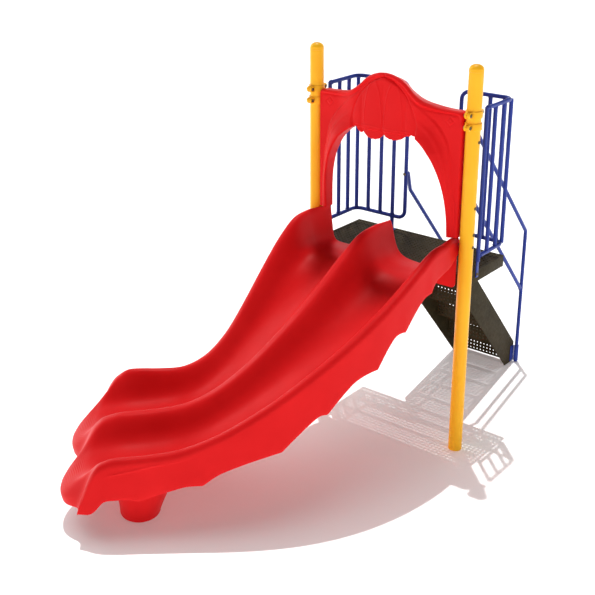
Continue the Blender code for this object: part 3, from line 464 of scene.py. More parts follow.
def spline(x, stations, values, first_slope=None):
    stations = np.asarray(stations, float)
    values = np.asarray(values, float)
    slopes = np.gradient(values, stations)
    if first_slope is not None:
        slopes[0] = first_slope
    x = np.clip(x, stations[0], stations[-1])
    i = np.clip(np.searchsorted(stations, x, side="right") - 1, 0, len(stations) - 2)
    span = stations[i + 1] - stations[i]
    t = (x - stations[i]) / span
    h00 = (1 + 2 * t) * (1 - t) ** 2
    h10 = t * (1 - t) ** 2
    h01 = t * t * (3 - 2 * t)
    h11 = t * t * (t - 1)
    return h00 * values[i] + h10 * span * slopes[i] + h01 * values[i + 1] + h11 * span * slopes[i + 1]


def skirt_depth(u):
    """Depth of the scalloped edge below the crest, and how far along its scallop u is."""
    depth = np.zeros_like(u)
    ramp = np.zeros_like(u)
    for i, (hollow_s, hollow_d) in enumerate(zip(HOLLOW_S, HOLLOW_D)):
        s0, s1 = TIP_S[i], TIP_S[i + 1]
        d0, d1 = TIP_D[i], TIP_D[i + 1]
        inside = (u >= s0) & (u <= s1)
        before = np.clip((hollow_s - u) / (hollow_s - s0), 0, 1)
        after = np.clip((u - hollow_s) / (s1 - hollow_s), 0, 1)
        value = hollow_d + (d0 - hollow_d) * before ** 1.6 + (d1 - hollow_d) * after ** 1.6
        depth = np.where(inside, value, depth)
        ramp = np.where(inside, np.maximum(before, after) ** 1.5, ramp)
    return depth, ramp


def path_table():
    step = 0.005
    s = np.arange(0.0, 2.6, step)
    heading = BEND_ANGLE * smoothstep((s - BEND_START) / (BEND_END - BEND_START))
    middle = (heading[1:] + heading[:-1]) / 2
    x = np.concatenate(([0.0], np.cumsum(-np.sin(middle) * step)))
    y = CHUTE_START_Y + np.concatenate(([0.0], np.cumsum(-np.cos(middle) * step)))
    return s, x, y, heading


PATH = path_table()


def on_path(s, offset, z):
    table_s, table_x, table_y, table_h = PATH
    x = np.interp(s, table_s, table_x)
    y = np.interp(s, table_s, table_y)
    heading = np.interp(s, table_s, table_h)
    return np.stack((x + offset * np.cos(heading), y - offset * np.sin(heading), z + 0 * x), axis=-1)


def chute_surface(u, v):
    """Moulded surface over a grid of stations u and sideways parameters v (|v| = 2 is the outer rim)."""
    u = u[:, None] + 0 * v[None, :]
    v = 0 * u + v[None, :]
    side = np.where(v < 0, -1.0, 1.0)
    a = np.abs(v)
    t = np.clip(u - NOSE_START, 0.0, 1.0)
    run = u <= NOSE_START
    crest_z = np.where(run, spline(u, CREST_S, CREST_Z), spline(t, NOSE_T, CREST_NOSE_Z, CREST_NOSE_SLOPE))
    crest_s = np.where(run, u, spline(t, NOSE_T, CREST_NOSE_S))
    run_floor_z = spline(u, CREST_S, CREST_Z) - spline(u, DEPTH_S, DEPTH_Z)
    floor_z = np.where(run, run_floor_z, spline(t, NOSE_T, FLOOR_NOSE_Z, FLOOR_NOSE_SLOPE))
    floor_s = np.where(run, u, spline(t, NOSE_T, FLOOR_NOSE_S))
    depth, ramp = skirt_depth(np.minimum(u, NOSE_START))
    skirt_z = np.where(run, spline(u, CREST_S, CREST_Z) - depth, spline(t, NOSE_T, SKIRT_NOSE_Z))
    skirt_s = np.where(run, u, spline(t, NOSE_T, SKIRT_NOSE_S))
    squeeze = 1 - (ENTRY_SQUEEZE / CREST_HALF) * (1 - smoothstep(u / SQUEEZE_LENGTH))
    lift = INNER_RIM_LIFT * smoothstep((u - 1.60) / (NOSE_START - 1.60)) * (1 - smoothstep(t / 0.6))
    lift = np.where(v < 0, lift, 0.0)
    # beds
    across = CHUTE_CENTRE * np.minimum(a, 2.0)
    opening = smoothstep(u / 0.60)
    width = 0.030 + 0.052 * opening
    power = 4.0 - 1.0 * opening
    divider = 1 / (1 + (across / (0.046 + 0.040 * opening)) ** (2.4 + 0.6 * opening))
    outer = 1 / (1 + (np.maximum(CREST_HALF - across, 0.0) / width) ** power)
    rise = np.minimum(divider + outer, 1.0)
    aside = np.abs(across - CHUTE_CENTRE) / CHUTE_CENTRE
    lip_s = floor_s - LIP_ARC * aside ** 2 * smoothstep(t / 0.9)
    bed_s = lip_s + (crest_s - lip_s) * rise
    bed_s = bed_s - SIDE_PULLBACK * smoothstep(a - 1) * rise * smoothstep(t / 0.9)
    bed_z = floor_z + (crest_z - floor_z) * rise + lift * rise * smoothstep(a - 1)
    ribs = np.sin(bed_s * 2 * math.pi / 0.012) * 0.0013
    ribbed = smoothstep((t - 0.45) / 0.1) * smoothstep((1.0 - t) / 0.1)
    bed_z = bed_z + ribs * ribbed * smoothstep((0.5 - rise) / 0.3)
    # rim and skirt
    bend = np.clip((a - 2) / 0.5, 0, 1) * math.pi / 2
    fall = np.clip((a - 2.5) / 0.5, 0, 1)
    drop = np.minimum(RIM_DROP, 0.45 * (crest_z - skirt_z))
    side_z = crest_z - drop * (1 - np.cos(bend)) + (skirt_z - (crest_z - drop)) * fall + lift * (1 - fall)
    side_s = crest_s + (skirt_s - crest_s) * fall - SIDE_PULLBACK * smoothstep(t / 0.9) * (1 - fall)
    flute = 0.0060 * ramp * smoothstep(fall / 0.8) * (1 - smoothstep((u - 1.84) / 0.11))
    crease_at = 0.02 + 0.16 * smoothstep((u - 1.70) / 0.32)
    crease = 0.0034 * np.exp(-((fall - crease_at) / 0.028) ** 2) * smoothstep((u - 1.45) / 0.25)
    crease = crease * (1 - smoothstep((t - 0.05) / 0.3))
    side_offset = CREST_HALF * squeeze + RIM_OUT * np.sin(bend) + SKIRT_FLARE * fall + flute + crease
    bed = a <= 2
    s = np.where(bed, bed_s, side_s)
    z = np.where(bed, bed_z, side_z)
    offset = side * np.where(bed, across * squeeze, side_offset)
    return on_path(s, offset, z)


def chute_columns():
    across = np.concatenate((np.linspace(0, 0.10, 14), np.linspace(0.115, 0.36, 12),
                             np.linspace(0.372, CREST_HALF, 18))) / CHUTE_CENTRE
    rim = 2 + np.linspace(0, 0.5, 9)[1:]
    falls = (0.03, 0.06, 0.09, 0.12, 0.15, 0.18, 0.21, 0.25, 0.31, 0.4, 0.52, 0.65, 0.78, 0.9, 1.0)
    skirt = 2.5 + 0.5 * np.array(falls)
    half = np.concatenate((across, rim, skirt))
    return np.concatenate((-half[:0:-1], half))


def normals_of(grid):
    along = np.gradient(grid, axis=0)
    across = np.gradient(grid, axis=1)
    normal = np.cross(along, across)
    return normal / np.linalg.norm(normal, axis=-1, keepdims=True)


def sheet(top, thickness, edge_steps=4):
    """Closed sheet under a grid, with half-round borders."""
    normal = normals_of(top)
    rows, columns = top.shape[:2]
    along = np.gradient(top, axis=0)
    across = np.gradient(top, axis=1)
    out = np.zeros_like(top)
    out[0] -= along[0]
    out[-1] += along[-1]
    out[:, 0] -= across[:, 0]
    out[:, -1] += across[:, -1]
    length = np.linalg.norm(out, axis=-1, keepdims=True)
    out = np.where(length > 0, out / np.maximum(length, 1e-12), 0.0)
    bottom = top - normal * thickness
    border = []
    for i in range(columns):
        border.append((0, i))
    for i in range(1, rows):
        border.append((i, columns - 1))
    for i in range(columns - 2, -1, -1):
        border.append((rows - 1, i))
    for i in range(rows - 2, 0, -1):
        border.append((i, 0))
    points = [top.reshape(-1, 3), bottom.reshape(-1, 3)]
    size = rows * columns
    faces = []
    for i in range(rows - 1):
        for j in range(columns - 1):
            a = i * columns + j
            b, c, d = a + 1, a + columns + 1, a + columns
            faces.append((a, b, c, d))
            faces.append((size + d, size + c, size + b, size + a))
    index = [i * columns + j for i, j in border]
    previous = index
    count = 2 * size
    for k in range(1, edge_steps):
        angle = math.pi * k / edge_steps
        ring = []
        for i, j in border:
            middle = (top[i, j] + bottom[i, j]) / 2
            ring.append(middle + normal[i, j] * thickness / 2 * math.cos(angle)
                        + out[i, j] * thickness / 2 * math.sin(angle))
        points.append(np.array(ring))
        current = [count + n for n in range(len(border))]
        for n in range(len(border)):
            m = (n + 1) % len(border)
            faces.append((previous[n], previous[m], current[m], current[n]))
        previous = current
        count += len(border)
    current = [size + n for n in index]
    for n in range(len(border)):
        m = (n + 1) % len(border)
        faces.append((previous[n], previous[m], current[m], current[n]))
    return np.concatenate(points), faces


def build_chute():
    shape = Shape()
    run = np.linspace(0.0, NOSE_START, 250)
    nose = NOSE_START + np.linspace(0.0, 1.0, 210)[1:]
    columns = chute_columns()
    grid = chute_surface(np.concatenate((run, nose)), columns)
    shape.add(*sheet(grid, SHELL))
    # upright flange under the entry
    first = grid[0] - normals_of(grid)[0] * SHELL / 2
    keep = np.abs(columns) <= 1.8
    top = [(p[0], p[2]) for p in first[keep]]
    half, shoulder, bottom, corner = 0.508, 1.370, 1.125, 0.030
    outline = [(-half, shoulder)] + top + [(half, shoulder)]
    for side in (1, -1):
        for step in range(9):
            angle = math.pi / 2 * (step if side > 0 else 8 - step) / 8
            outline.append((side * (half - corner + corner * math.cos(angle)),
                            bottom + corner - corner * math.sin(angle)))
    front = CHUTE_START_Y - 0.008
    shape.add_bmesh(plate(outline, [], 0.0078, lambda a, b, d: Vector((a, front + d, b))))
    shape.finish("chute_surface", "moulded_red", ["slide_chute"], 40)


FOOT_BASE_R, FOOT_TOP_R, FOOT_EDGE, FOOT_WALL = 0.121, 0.212, 0.028, 0.008
FOOT_S, FOOT_OFFSET, FOOT_LEAN = 1.87, 0.262, 0.16


def build_feet():
    for name, side in (("left_foot", -1), ("right_foot", 1)):
        height = local(name)[1].z
        base, top, edge, wall = FOOT_BASE_R, FOOT_TOP_R, FOOT_EDGE, FOOT_WALL
        outer = [(0.0, 0.0)]
        for step in range(9):
            angle = math.pi / 2 * step / 8
            outer.append((base - edge + edge * math.sin(angle), edge - edge * math.cos(angle)))
        flare = []
        for step in range(1, 15):
            part = step / 14
            flare.append((base + (top - base) * part ** 1.2, edge + (height - edge) * part))
        inner = [(r - wall, z) for r, z in reversed(flare)]
        inner[0] = (inner[0][0] + 0.002, inner[0][1])
        inner += [(base - wall, edge), (base - edge, wall), (0.0, wall)]
        centre = on_path(np.array(FOOT_S), side * FOOT_OFFSET, 0.0)
        start = (float(centre[0]), float(centre[1]), 0.0)
        points, faces = turned(outer + flare + inner, start, (0, 0, 1), 64)
        points = np.array(points)
        lift = np.maximum(points[:, 2] - edge, 0.0)
        points[:, 0] += FOOT_LEAN * math.sin(BEND_ANGLE) * lift
        points[:, 1] += FOOT_LEAN * math.cos(BEND_ANGLE) * lift
        shape = Shape()
        shape.add(points, faces)
        shape.finish(name + "_moulding", "moulded_red", [name], 50)


# =====================================================================================
# arch panel
# =====================================================================================
ARCH_HALF = (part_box("arch_panel")[1].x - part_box("arch_panel")[0].x) / 2
ARCH_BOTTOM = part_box("arch_panel")[0].z
PANEL_FRONT, PANEL_BACK = -0.040, 0.040
OPEN_HALF, OPEN_SPRING, OPEN_RISE, OPEN_POWER = 0.463, 1.500, 0.615, 0.8
HEM_HALF = 0.205
HEM_ANGLE = math.acos((HEM_HALF / OPEN_HALF) ** (1 / OPEN_POWER))
HEM_Z = OPEN_SPRING + OPEN_RISE * math.sin(HEM_ANGLE) ** OPEN_POWER
# Top edge: the front stands higher than the back over the dome.
TOP_X = (-0.064, 0.0, 0.064, 0.14, 0.20, 0.25, 0.311, 0.374, 0.45, 0.54)
TOP_FRONT = (2.428, 2.436, 2.428, 2.392, 2.338, 2.304, 2.281, 2.268, 2.264, 2.264)
TOP_BACK = (2.386, 2.398, 2.386, 2.330, 2.297, 2.281, 2.271, 2.264, 2.260, 2.260)
# Lobes of the valance: cusps, and how far each lobe hangs below the line between its cusps.
CUSP_X = (-HEM_HALF, -0.156, 0.0, 0.160, HEM_HALF)
CUSP_Z = (HEM_Z, 2.055, 2.052, 2.066, HEM_Z)
LOBE_DROP = (0.026, 0.041, 0.029, 0.004)
# Outer fold of the curtains, as a radius about the middle of the opening.
FOLD_MID = 1.60
FOLD_ANGLE = (-20.0, 0.0, 17.2, 32.7, 47.6, 64.5, 76.5, 90.0)
FOLD_RADIUS = (0.528, 0.510, 0.523, 0.572, 0.649, 0.698, 0.730, 0.742)
PROUD_Z = (1.48, 1.58, 1.76, 1.90, 2.00, 2.09, 2.30)
PROUD = (0.007, 0.016, 0.038, 0.056, 0.062, 0.048, 0.040)
CANOPY_HALF, CANOPY_HEM, CANOPY_RISE = 0.240, 2.090, 0.319
GORE = 0.163


def opening_table():
    """Radius of the opening's edge against angle, about the same middle as the fold."""
    turn = np.linspace(0, math.pi / 2, 200)
    x = OPEN_HALF * np.cos(turn) ** OPEN_POWER
    z = OPEN_SPRING + OPEN_RISE * np.sin(turn) ** OPEN_POWER
    x = np.concatenate(([OPEN_HALF], x))
    z = np.concatenate(([ARCH_BOTTOM - 0.05], z))
    return np.degrees(np.arctan2(z - FOLD_MID, x)), np.hypot(x, z - FOLD_MID)


OPENING = opening_table()


def arch_outline(f, side, back):
    """Outer edge for f in 0..0.5 from the leg's foot to the crown."""
    corner = 0.016
    heights = TOP_BACK if back else TOP_FRONT
    if f < 0.28:
        x = ARCH_HALF
        z = ARCH_BOTTOM + (float(spline(ARCH_HALF, TOP_X, heights)) - ARCH_BOTTOM) * f / 0.28
    else:
        x = ARCH_HALF * (1 - (f - 0.28) / 0.22)
        z = float(spline(x, TOP_X, heights))
    top = float(spline(ARCH_HALF, TOP_X, heights))
    near = max(1 - math.hypot(ARCH_HALF - x, top - z) / (2.2 * corner), 0.0) ** 2
    return side * (x - near * corner * 0.45), z - near * corner * 0.45


def arch_opening(f, side, lobes):
    """Edge of the opening: the front has the valance's lobes, the back is plain."""
    foot, shoulder = 0.02, 0.37
    if f < foot:
        return side * OPEN_HALF, ARCH_BOTTOM + (OPEN_SPRING - ARCH_BOTTOM) * f / foot
    if f <= shoulder:
        angle = (f - foot) / (shoulder - foot) * HEM_ANGLE
        z = OPEN_SPRING + OPEN_RISE * math.sin(angle) ** OPEN_POWER
        return side * OPEN_HALF * math.cos(angle) ** OPEN_POWER, z
    x = side * HEM_HALF * (0.5 - f) / (0.5 - shoulder)
    z = HEM_Z
    if lobes:
        i = min(max(int(np.searchsorted(CUSP_X, x, side="right")) - 1, 0), 3)
        part = min(max((x - CUSP_X[i]) / (CUSP_X[i + 1] - CUSP_X[i]), 0.0), 1.0)
        swell = 1 - abs(2 * part - 1) ** 2.4
        z = CUSP_Z[i] + (CUSP_Z[i + 1] - CUSP_Z[i]) * part - LOBE_DROP[i] * swell
        z += 0.0016 * swell * math.sin(2 * math.pi * x / 0.027)
    return x, z


def arch_front(x, z):
    """How far the front face stands forward of the panel's plane."""
    ax = np.abs(x)
    theta = np.degrees(np.arctan2(z - FOLD_MID, ax))
    radius = np.hypot(ax, z - FOLD_MID)
    fold = spline(theta, FOLD_ANGLE, FOLD_RADIUS)
    edge = np.interp(theta, *OPENING)
    t = (radius - edge) / (fold - edge)
    drape = np.interp(z, PROUD_Z, PROUD) * (1 - smoothstep(t))
    curtain = 0.010 * smoothstep((fold - radius) / 0.020)
    pleat = 0.0035 * np.exp(-((t - 0.52) / 0.09) ** 2) * smoothstep((z - 1.60) / 0.25)
    hood = smoothstep((0.40 - ax) / 0.18) * smoothstep((z - 2.08) / 0.16)
    proud = 0.040 * hood + (drape + curtain + pleat) * (1 - 0.7 * hood)
    # canopy of upright gores
    q = np.clip((z - CANOPY_HEM) / CANOPY_RISE, 0.0, 1.0)
    half = CANOPY_HALF * (1 - q ** 2) ** 0.62 + 0.001
    g = ax / half
    inside = smoothstep((1 - g) * half / 0.009)
    middle = np.where(ax < GORE, GORE / 2, (GORE + CANOPY_HALF) / 2)
    reach = np.where(ax < GORE, GORE / 2, (CANOPY_HALF - GORE) / 2)
    puff = np.sqrt(np.clip(1 - ((ax - middle) / reach) ** 2, 0, 1))
    canopy = 0.036 + 0.014 * np.sqrt(np.clip(1 - g ** 2, 0, 1)) + 0.0048 * puff * (1 - q ** 4)
    rib = np.sqrt((np.abs(ax - 0.076) / 0.066) ** 2 + (np.maximum(z - 2.10, 0.0) / 0.285) ** 2)
    canopy = canopy + 0.0036 * np.exp(-((rib - 1) / 0.045) ** 2) * smoothstep((z - 2.105) / 0.02)
    canopy = canopy + 0.0018 * smoothstep((1 - rib) / 0.10)
    canopy = canopy - 0.008 * smoothstep((2.080 - z) / 0.006)
    canopy = canopy + 0.0018 * np.exp(-((z - 2.098) / 0.0035) ** 2)
    proud = proud + (canopy - proud) * inside
    proud = proud - 0.0045 * np.exp(-((g - 1) * half / 0.005) ** 2) * smoothstep((z - 2.08) / 0.02)
    # small raised diamond near each upper corner
    diamond = np.abs(ax - 0.447) / 0.030 + np.abs(z - 2.196) / 0.030
    proud = proud - 0.0024 * np.exp(-((diamond - 1) / 0.16) ** 2)
    return proud + 0.0020 * np.exp(-((diamond - 0.45) / 0.16) ** 2)


def edge_round(distance, radius):
    """Set-back of a face near an edge rounded to a radius."""
    part = np.clip(1 - distance / radius, 0, 1)
    return radius * (1 - np.sqrt(1 - part ** 2))


def build_arch():
    shape = Shape()
    turns = np.concatenate((np.linspace(0, 0.28, 96), np.linspace(0.28, 0.37, 60)[1:],
                            np.linspace(0.37, 0.5, 92)[1:]))
    span = np.concatenate((np.linspace(0, 0.06, 9), np.linspace(0.07, 0.93, 92), np.linspace(0.94, 1.0, 10)))
    side_steps = np.linspace(0, 1, 9)[1:-1, None]
    rows = []
    for side in (-1.0, 1.0):
        for f in (turns if side < 0 else turns[::-1][1:]):
            fx, fz = arch_opening(f, side, True)
            bx, bz = arch_opening(f, side, False)
            ox, oz = arch_outline(f, side, False)
            qx, qz = arch_outline(f, side, True)
            x = fx + (ox - fx) * span
            z = fz + (oz - fz) * span
            width = math.hypot(ox - fx, oz - fz)
            to_rim = (1 - span) * width
            to_opening = span * width
            top = smoothstep((f - 0.26) / 0.03)
            bead = 0.0045 * np.exp(-((to_rim - 0.015) / 0.008) ** 2) * top
            groove = 0.0040 * np.exp(-((to_rim - 0.032) / 0.008) ** 2) * top
            front_y = PANEL_FRONT - arch_front(x, z) - bead + groove
            front_y = front_y + edge_round(to_opening, 0.012) + edge_round(to_rim, 0.013)
            hollow = 0.016 + 0.034 * smoothstep((bz - OPEN_SPRING) / 0.55)
            back_y = PANEL_BACK - hollow * (1 - smoothstep(span))
            back_y = back_y - edge_round(to_opening, 0.008) - edge_round(to_rim, 0.010)
            front = np.stack((x, front_y, z), axis=-1)
            back = np.stack((bx + (qx - bx) * span, back_y, bz + (qz - bz) * span), axis=-1)
            reveal = back[0] + (front[0] - back[0]) * side_steps
            outside = front[-1] + (back[-1] - front[-1]) * side_steps
            rows.append(np.concatenate((front, outside, back[::-1], reveal)))
    points, faces = loft(np.array(rows))
    shape.add(points, faces)
    shape.finish("arch_moulding", "moulded_red", ["arch_panel"], 48)


# =====================================================================================
# posts, caps, collars, bolts
# =====================================================================================
def build_posts():
    for name, side in (("left", -1), ("right", 1)):
        x = side * POST_X
        wall = 0.0032
        soft = 0.0008
        ring = [(POST_R - soft, 0.0), (POST_R, soft), (POST_R, POST_TOP - soft), (POST_R - soft, POST_TOP),
                (POST_R - wall, POST_TOP), (POST_R - wall, 0.0)]
        shape = Shape()
        shape.add(*turned(ring, (x, 0, 0), (0, 0, 1), 96))
        shape.finish(name + "_post_tube", "yellow_coat", [name + "_post"], 40)
        plug = POST_R - wall - GAP
        rise = CAP_TOP - POST_TOP
        skirt = 0.012
        dome = [(0.0, -0.030), (plug, -0.030), (plug, GAP), (POST_R - 0.001, GAP), (POST_R + 0.0004, 0.0014),
                (POST_R + 0.0004, skirt)]
        for step in range(1, 16):
            angle = math.pi / 2 * step / 16
            dome.append(((POST_R + 0.0004) * math.cos(angle), skirt + (rise - skirt) * math.sin(angle)))
        dome.append((0.0, rise))
        shape = Shape()
        shape.add(*turned(dome, (x, 0, POST_TOP), (0, 0, 1), 96))
        shape.finish(name + "_cap_dome", "yellow_coat", [name + "_post_cap"], 40)


def collar_band(shape, x, z, height):
    inner = POST_R + GAP
    outer = inner + 0.0065
    half = height / 2
    ring = [(inner, -half), (outer - 0.002, -half), (outer - 0.0006, -half + 0.0006), (outer, -half + 0.002)]
    ring += [(outer, half - 0.002), (outer - 0.0006, half - 0.0006), (outer - 0.002, half), (inner, half)]
    shape.add(*turned(ring, (x, 0, z), (0, 0, 1), 72))


def build_collars():
    for label, side in (("left", -1), ("right", 1)):
        for level, directions in (("upper", (1, -1)), ("lower", (-1,))):
            name = "%s_%s_collar" % (label, level)
            low, high = local(name)
            x = side * POST_X
            z = (low.z + high.z) / 2
            height = high.z - low.z
            shape = Shape()
            collar_band(shape, x, z, height)
            for direction in directions:
                reach = high.y if direction > 0 else -low.y
                ear_r = height / 2 - 0.001
                ear_y = direction * (reach - ear_r)
                for cheek in (-1, 1):
                    x0 = x + cheek * 0.0018
                    x1 = x + cheek * 0.017
                    profile = [(0.0058, 0.0), (ear_r - 0.0015, 0.0), (ear_r, 0.0015), (ear_r, 0.0137),
                               (ear_r - 0.0015, 0.0152), (0.0058, 0.0152)]
                    shape.add(*turned(profile, (x0, ear_y, z), (cheek, 0, 0), 36))
                    root = direction * (POST_R + 0.0035)
                    web_end = ear_y - direction * 0.0065
                    half_web = ear_r - 0.0015
                    shape.add_bmesh(box((x0, root, z - half_web), (x1, web_end, z + half_web), 0.0012))
            shape.finish(name + "_casting", "yellow_coat", [name], 40)


# the two profile points of a bolt's head that are drawn six-sided
SOCKET_RINGS = (1, 2)
NO_NUT, COLLAR_NUT, FRAME_NUT, FLANGE_NUT = 0.0, 0.0117, 0.0150, 0.0095


def bolt_shape(node, axis, nut):
    """Button-head bolt that fills its node's box, with a hex socket, a washer face and a nut."""
    low, high = local(node)
    axis = Vector(axis)
    centre = (low + high) / 2
    length = abs((high - low).dot(axis))
    start = centre - axis * length / 2
    head_r, head_h, shank = 0.0105, 0.0060, 0.0048
    profile = [(0.0, 0.0034), (0.0036, 0.0034), (0.0038, 0.0003), (0.0046, 0.0)]
    for step in range(1, 8):
        angle = math.pi / 2 * step / 7
        profile.append((0.0046 + (head_r - 0.0046) * math.sin(angle), head_h * 0.86 * (1 - math.cos(angle))))
    profile += [(head_r, head_h), (shank, head_h)]
    if nut:
        profile += [(shank, length - nut), (head_r * 0.92, length - nut), (head_r, length - nut + 0.0008),
                    (head_r, length - 0.004), (head_r * 0.8, length - 0.0015), (shank * 0.9, length)]
        profile += [(0.0, length)]
    else:
        profile += [(shank, length - 0.0008), (shank - 0.0008, length), (0.0, length)]
    shape = Shape()
    shape.add(*turned(profile, start, axis, 24, SOCKET_RINGS))
    shape.finish(node + "_turned", "zinc_bolt", [node], 35)


def build_bolts():
    for label, side in (("left", -1), ("right", 1)):
        inward = (-side, 0, 0)
        for index in (1, 2, 3):
            bolt_shape("%s_arch_bolt_%d" % (label, index), inward, NO_NUT)
        bolt_shape(label + "_chute_bolt", inward, NO_NUT)
        bolt_shape(label + "_tab_bolt", inward, FRAME_NUT)
        bolt_shape(label + "_foot_bolt", (0, 0, -1), FRAME_NUT)
        for where in ("upper", "lower"):
            bolt_shape("%s_%s_rail_bolt" % (label, where), (0, 1, 0), NO_NUT)
        bolt_shape(label + "_upper_collar_rear_bolt", (-1, 0, 0), COLLAR_NUT)
        bolt_shape(label + "_upper_collar_front_bolt", (-1, 0, 0), COLLAR_NUT)
        bolt_shape(label + "_lower_collar_front_bolt", (-1, 0, 0), COLLAR_NUT)
    for index in (1, 2, 3, 4):
        bolt_shape("flange_bolt_%d" % index, (0, 1, 0), FLANGE_NUT)


# =====================================================================================
# deck and stair
# =====================================================================================
PITCH = 0.0285
HOLE_R = 0.0058
RISERS, RUN = 6, 0.1786
STRINGER_T, STRINGER_FACE = 0.006, 0.295
HANGER_W, HANGER_T, HANGER_LOW, HANGER_HIGH = 0.050, 0.005, 0.905, 1.008


def hole_grid(x0, x1, y0, y1, margin, blocked=()):
    """Square grid of holes centred in a rectangle, leaving a margin and any blocked discs."""
    nx = int((x1 - x0 - 2 * margin) / PITCH) + 1
    ny = int((y1 - y0 - 2 * margin) / PITCH) + 1
    start_x = (x0 + x1 - (nx - 1) * PITCH) / 2
    start_y = (y0 + y1 - (ny - 1) * PITCH) / 2
    holes = []
    for i in range(nx):
        for j in range(ny):
            x = start_x + i * PITCH
            y = start_y + j * PITCH
            if all(math.hypot(x - bx, y - by) > br for bx, by, br in blocked):
                holes.append((x, y, HOLE_R))
    return holes


def build_deck():
    shape = Shape()
    t = 0.004
    notch = POST_R + 0.002
    start = math.asin(DECK_FRONT / notch)
    end = math.pi / 2
    outline = []
    for side in (1, -1):
        arc = []
        for step in range(13):
            angle = start + (end - start) * step / 12
            arc.append((side * (POST_X - notch * math.cos(angle)), notch * math.sin(angle)))
        outline += arc if side > 0 else arc[::-1]
        if side > 0:
            outline += [(DECK_HALF, DECK_REAR), (-DECK_HALF, DECK_REAR)]
    blocked = [(side * POST_X, 0.0, notch + 0.014) for side in (-1, 1)]
    for node in ("left_foot_bolt", "right_foot_bolt"):
        low, high = local(node)
        blocked.append(((low.x + high.x) / 2, (low.y + high.y) / 2, 0.016))
    holes = hole_grid(-DECK_HALF, DECK_HALF, DECK_FRONT, DECK_REAR, 0.018, blocked)
    shape.add_bmesh(plate(outline, holes, t, lambda a, b, d: Vector((a, b, DECK_H - t + d))))
    low = DECK[0].z
    top = DECK_H - t + 0.001
    shape.add_bmesh(box((-POST_X + notch - 0.002, DECK_FRONT, low),
                        (POST_X - notch + 0.002, DECK_FRONT + t, top)))
    shape.add_bmesh(box((-DECK_HALF, DECK_REAR - t, low), (DECK_HALF, DECK_REAR, top)))
    for side in (-1, 1):
        shape.add_bmesh(box((side * DECK_HALF, notch + 0.001, low),
                            (side * (DECK_HALF - t), DECK_REAR - 0.0005, top)))
    shape.finish("deck_plate", "brown_vinyl", ["deck"], 30)


def build_ribs_and_brackets():
    for node in ("deck_rib_1", "deck_rib_2"):
        low, high = local(node)
        shape = Shape()
        t = 0.0035
        shape.add_bmesh(box((low.x, low.y, high.z - t), (high.x, high.y, high.z)))
        shape.add_bmesh(box((low.x, low.y, low.z), (high.x, low.y + t, high.z - t + 0.0006)))
        shape.add_bmesh(box((low.x, high.y - t, low.z), (high.x, high.y, high.z - t + 0.0006)))
        shape.finish(node + "_channel", "brown_vinyl", [node], 30)
    for node, side in (("left_deck_bracket", -1), ("right_deck_bracket", 1)):
        low, high = local(node)
        outer = high.x if side > 0 else low.x
        inner = low.x if side > 0 else high.x
        shape = Shape()
        shape.add_bmesh(box((outer, low.y, low.z), (outer - side * 0.005, high.y, high.z)))
        shape.add_bmesh(box((outer - side * 0.0044, low.y, low.z), (inner, low.y + 0.005, high.z)))
        shape.finish(node + "_angle", "brown_vinyl", [node], 30)


def build_tread(node, rounded=True):
    """Perforated tread with a rounded nose and a perforated riser turned down from it."""
    low, high = local(node)
    shape = Shape()
    t = 0.004
    nose = 0.012 if rounded else 0.0
    x0, x1 = low.x, high.x
    if rounded:
        outline = [(x0, low.y), (x1, low.y), (x1, high.y - nose), (x0, high.y - nose)]
        holes = hole_grid(x0, x1, low.y, high.y - nose, 0.014)
        shape.add_bmesh(plate(outline, holes, t, lambda a, b, d: Vector((a, b, high.z - t + d))))
        rings = []
        for step in range(9):
            angle = math.pi / 2 * step / 8
            y = high.y - nose + (nose) * math.sin(angle)
            z = high.z - nose + (nose) * math.cos(angle)
            y2 = high.y - nose + (nose - t) * math.sin(angle)
            z2 = high.z - nose + (nose - t) * math.cos(angle)
            rings.append([(x0, y, z), (x1, y, z), (x1, y2, z2), (x0, y2, z2)])
        shape.add(*loft(rings))
    outline = [(x0, low.z), (x1, low.z), (x1, high.z - nose), (x0, high.z - nose)]
    holes = hole_grid(x0, x1, low.z, high.z - nose, 0.014)
    shape.add_bmesh(plate(outline, holes, t, lambda a, b, d: Vector((a, high.y - t + d, b))))
    shape.finish(node + "_perforated", "brown_vinyl", [node], 30)


def build_stair():
    for index in range(1, 6):
        build_tread("tread_%d" % index)
    build_tread("top_riser", rounded=False)
    rise = DECK_H / RISERS
    for label, side in (("left", -1), ("right", 1)):
        node = label + "_stringer"
        low, high = local(node)
        outside = high.x if side > 0 else low.x
        t = STRINGER_T
        start_y = low.y
        toe_y = high.y
        top_z = high.z
        edge_z = top_z - (toe_y - start_y) * rise / RUN
        face_z = top_z - STRINGER_FACE
        foot_y = start_y + face_z * RUN / rise
        outline = [(start_y, top_z), (start_y, face_z), (foot_y, 0.0), (toe_y, 0.0), (toe_y, edge_z)]
        shape = Shape()
        inside = outside - side * t
        x0 = min(inside, outside)
        bm = plate(outline, [], t, lambda a, b, d: Vector((x0 + d, a, b)))
        rim = [e for e in bm.edges if len(e.link_faces) == 2 and e.calc_face_angle(0) > 1.0]
        bmesh.ops.bevel(bm, geom=rim, offset=0.0015, segments=2, profile=0.5, affect="EDGES")
        shape.add_bmesh(bm)
        # hanger tab against the deck's rear skirt
        tab = box((outside - side * t / 3, start_y, HANGER_LOW),
                  (outside - side * HANGER_W, start_y + HANGER_T, HANGER_HIGH))
        shape.add_bmesh(tab)
        shape.finish(node + "_plate", "brown_vinyl", [node], 30)


# =====================================================================================
# barriers and handrails
# =====================================================================================
BARRIER_PITCH = 0.1055
REAR_PITCH = 0.1028
BARRIER_REAR_Y = local("left_barrier")[1].y - RAIL_R


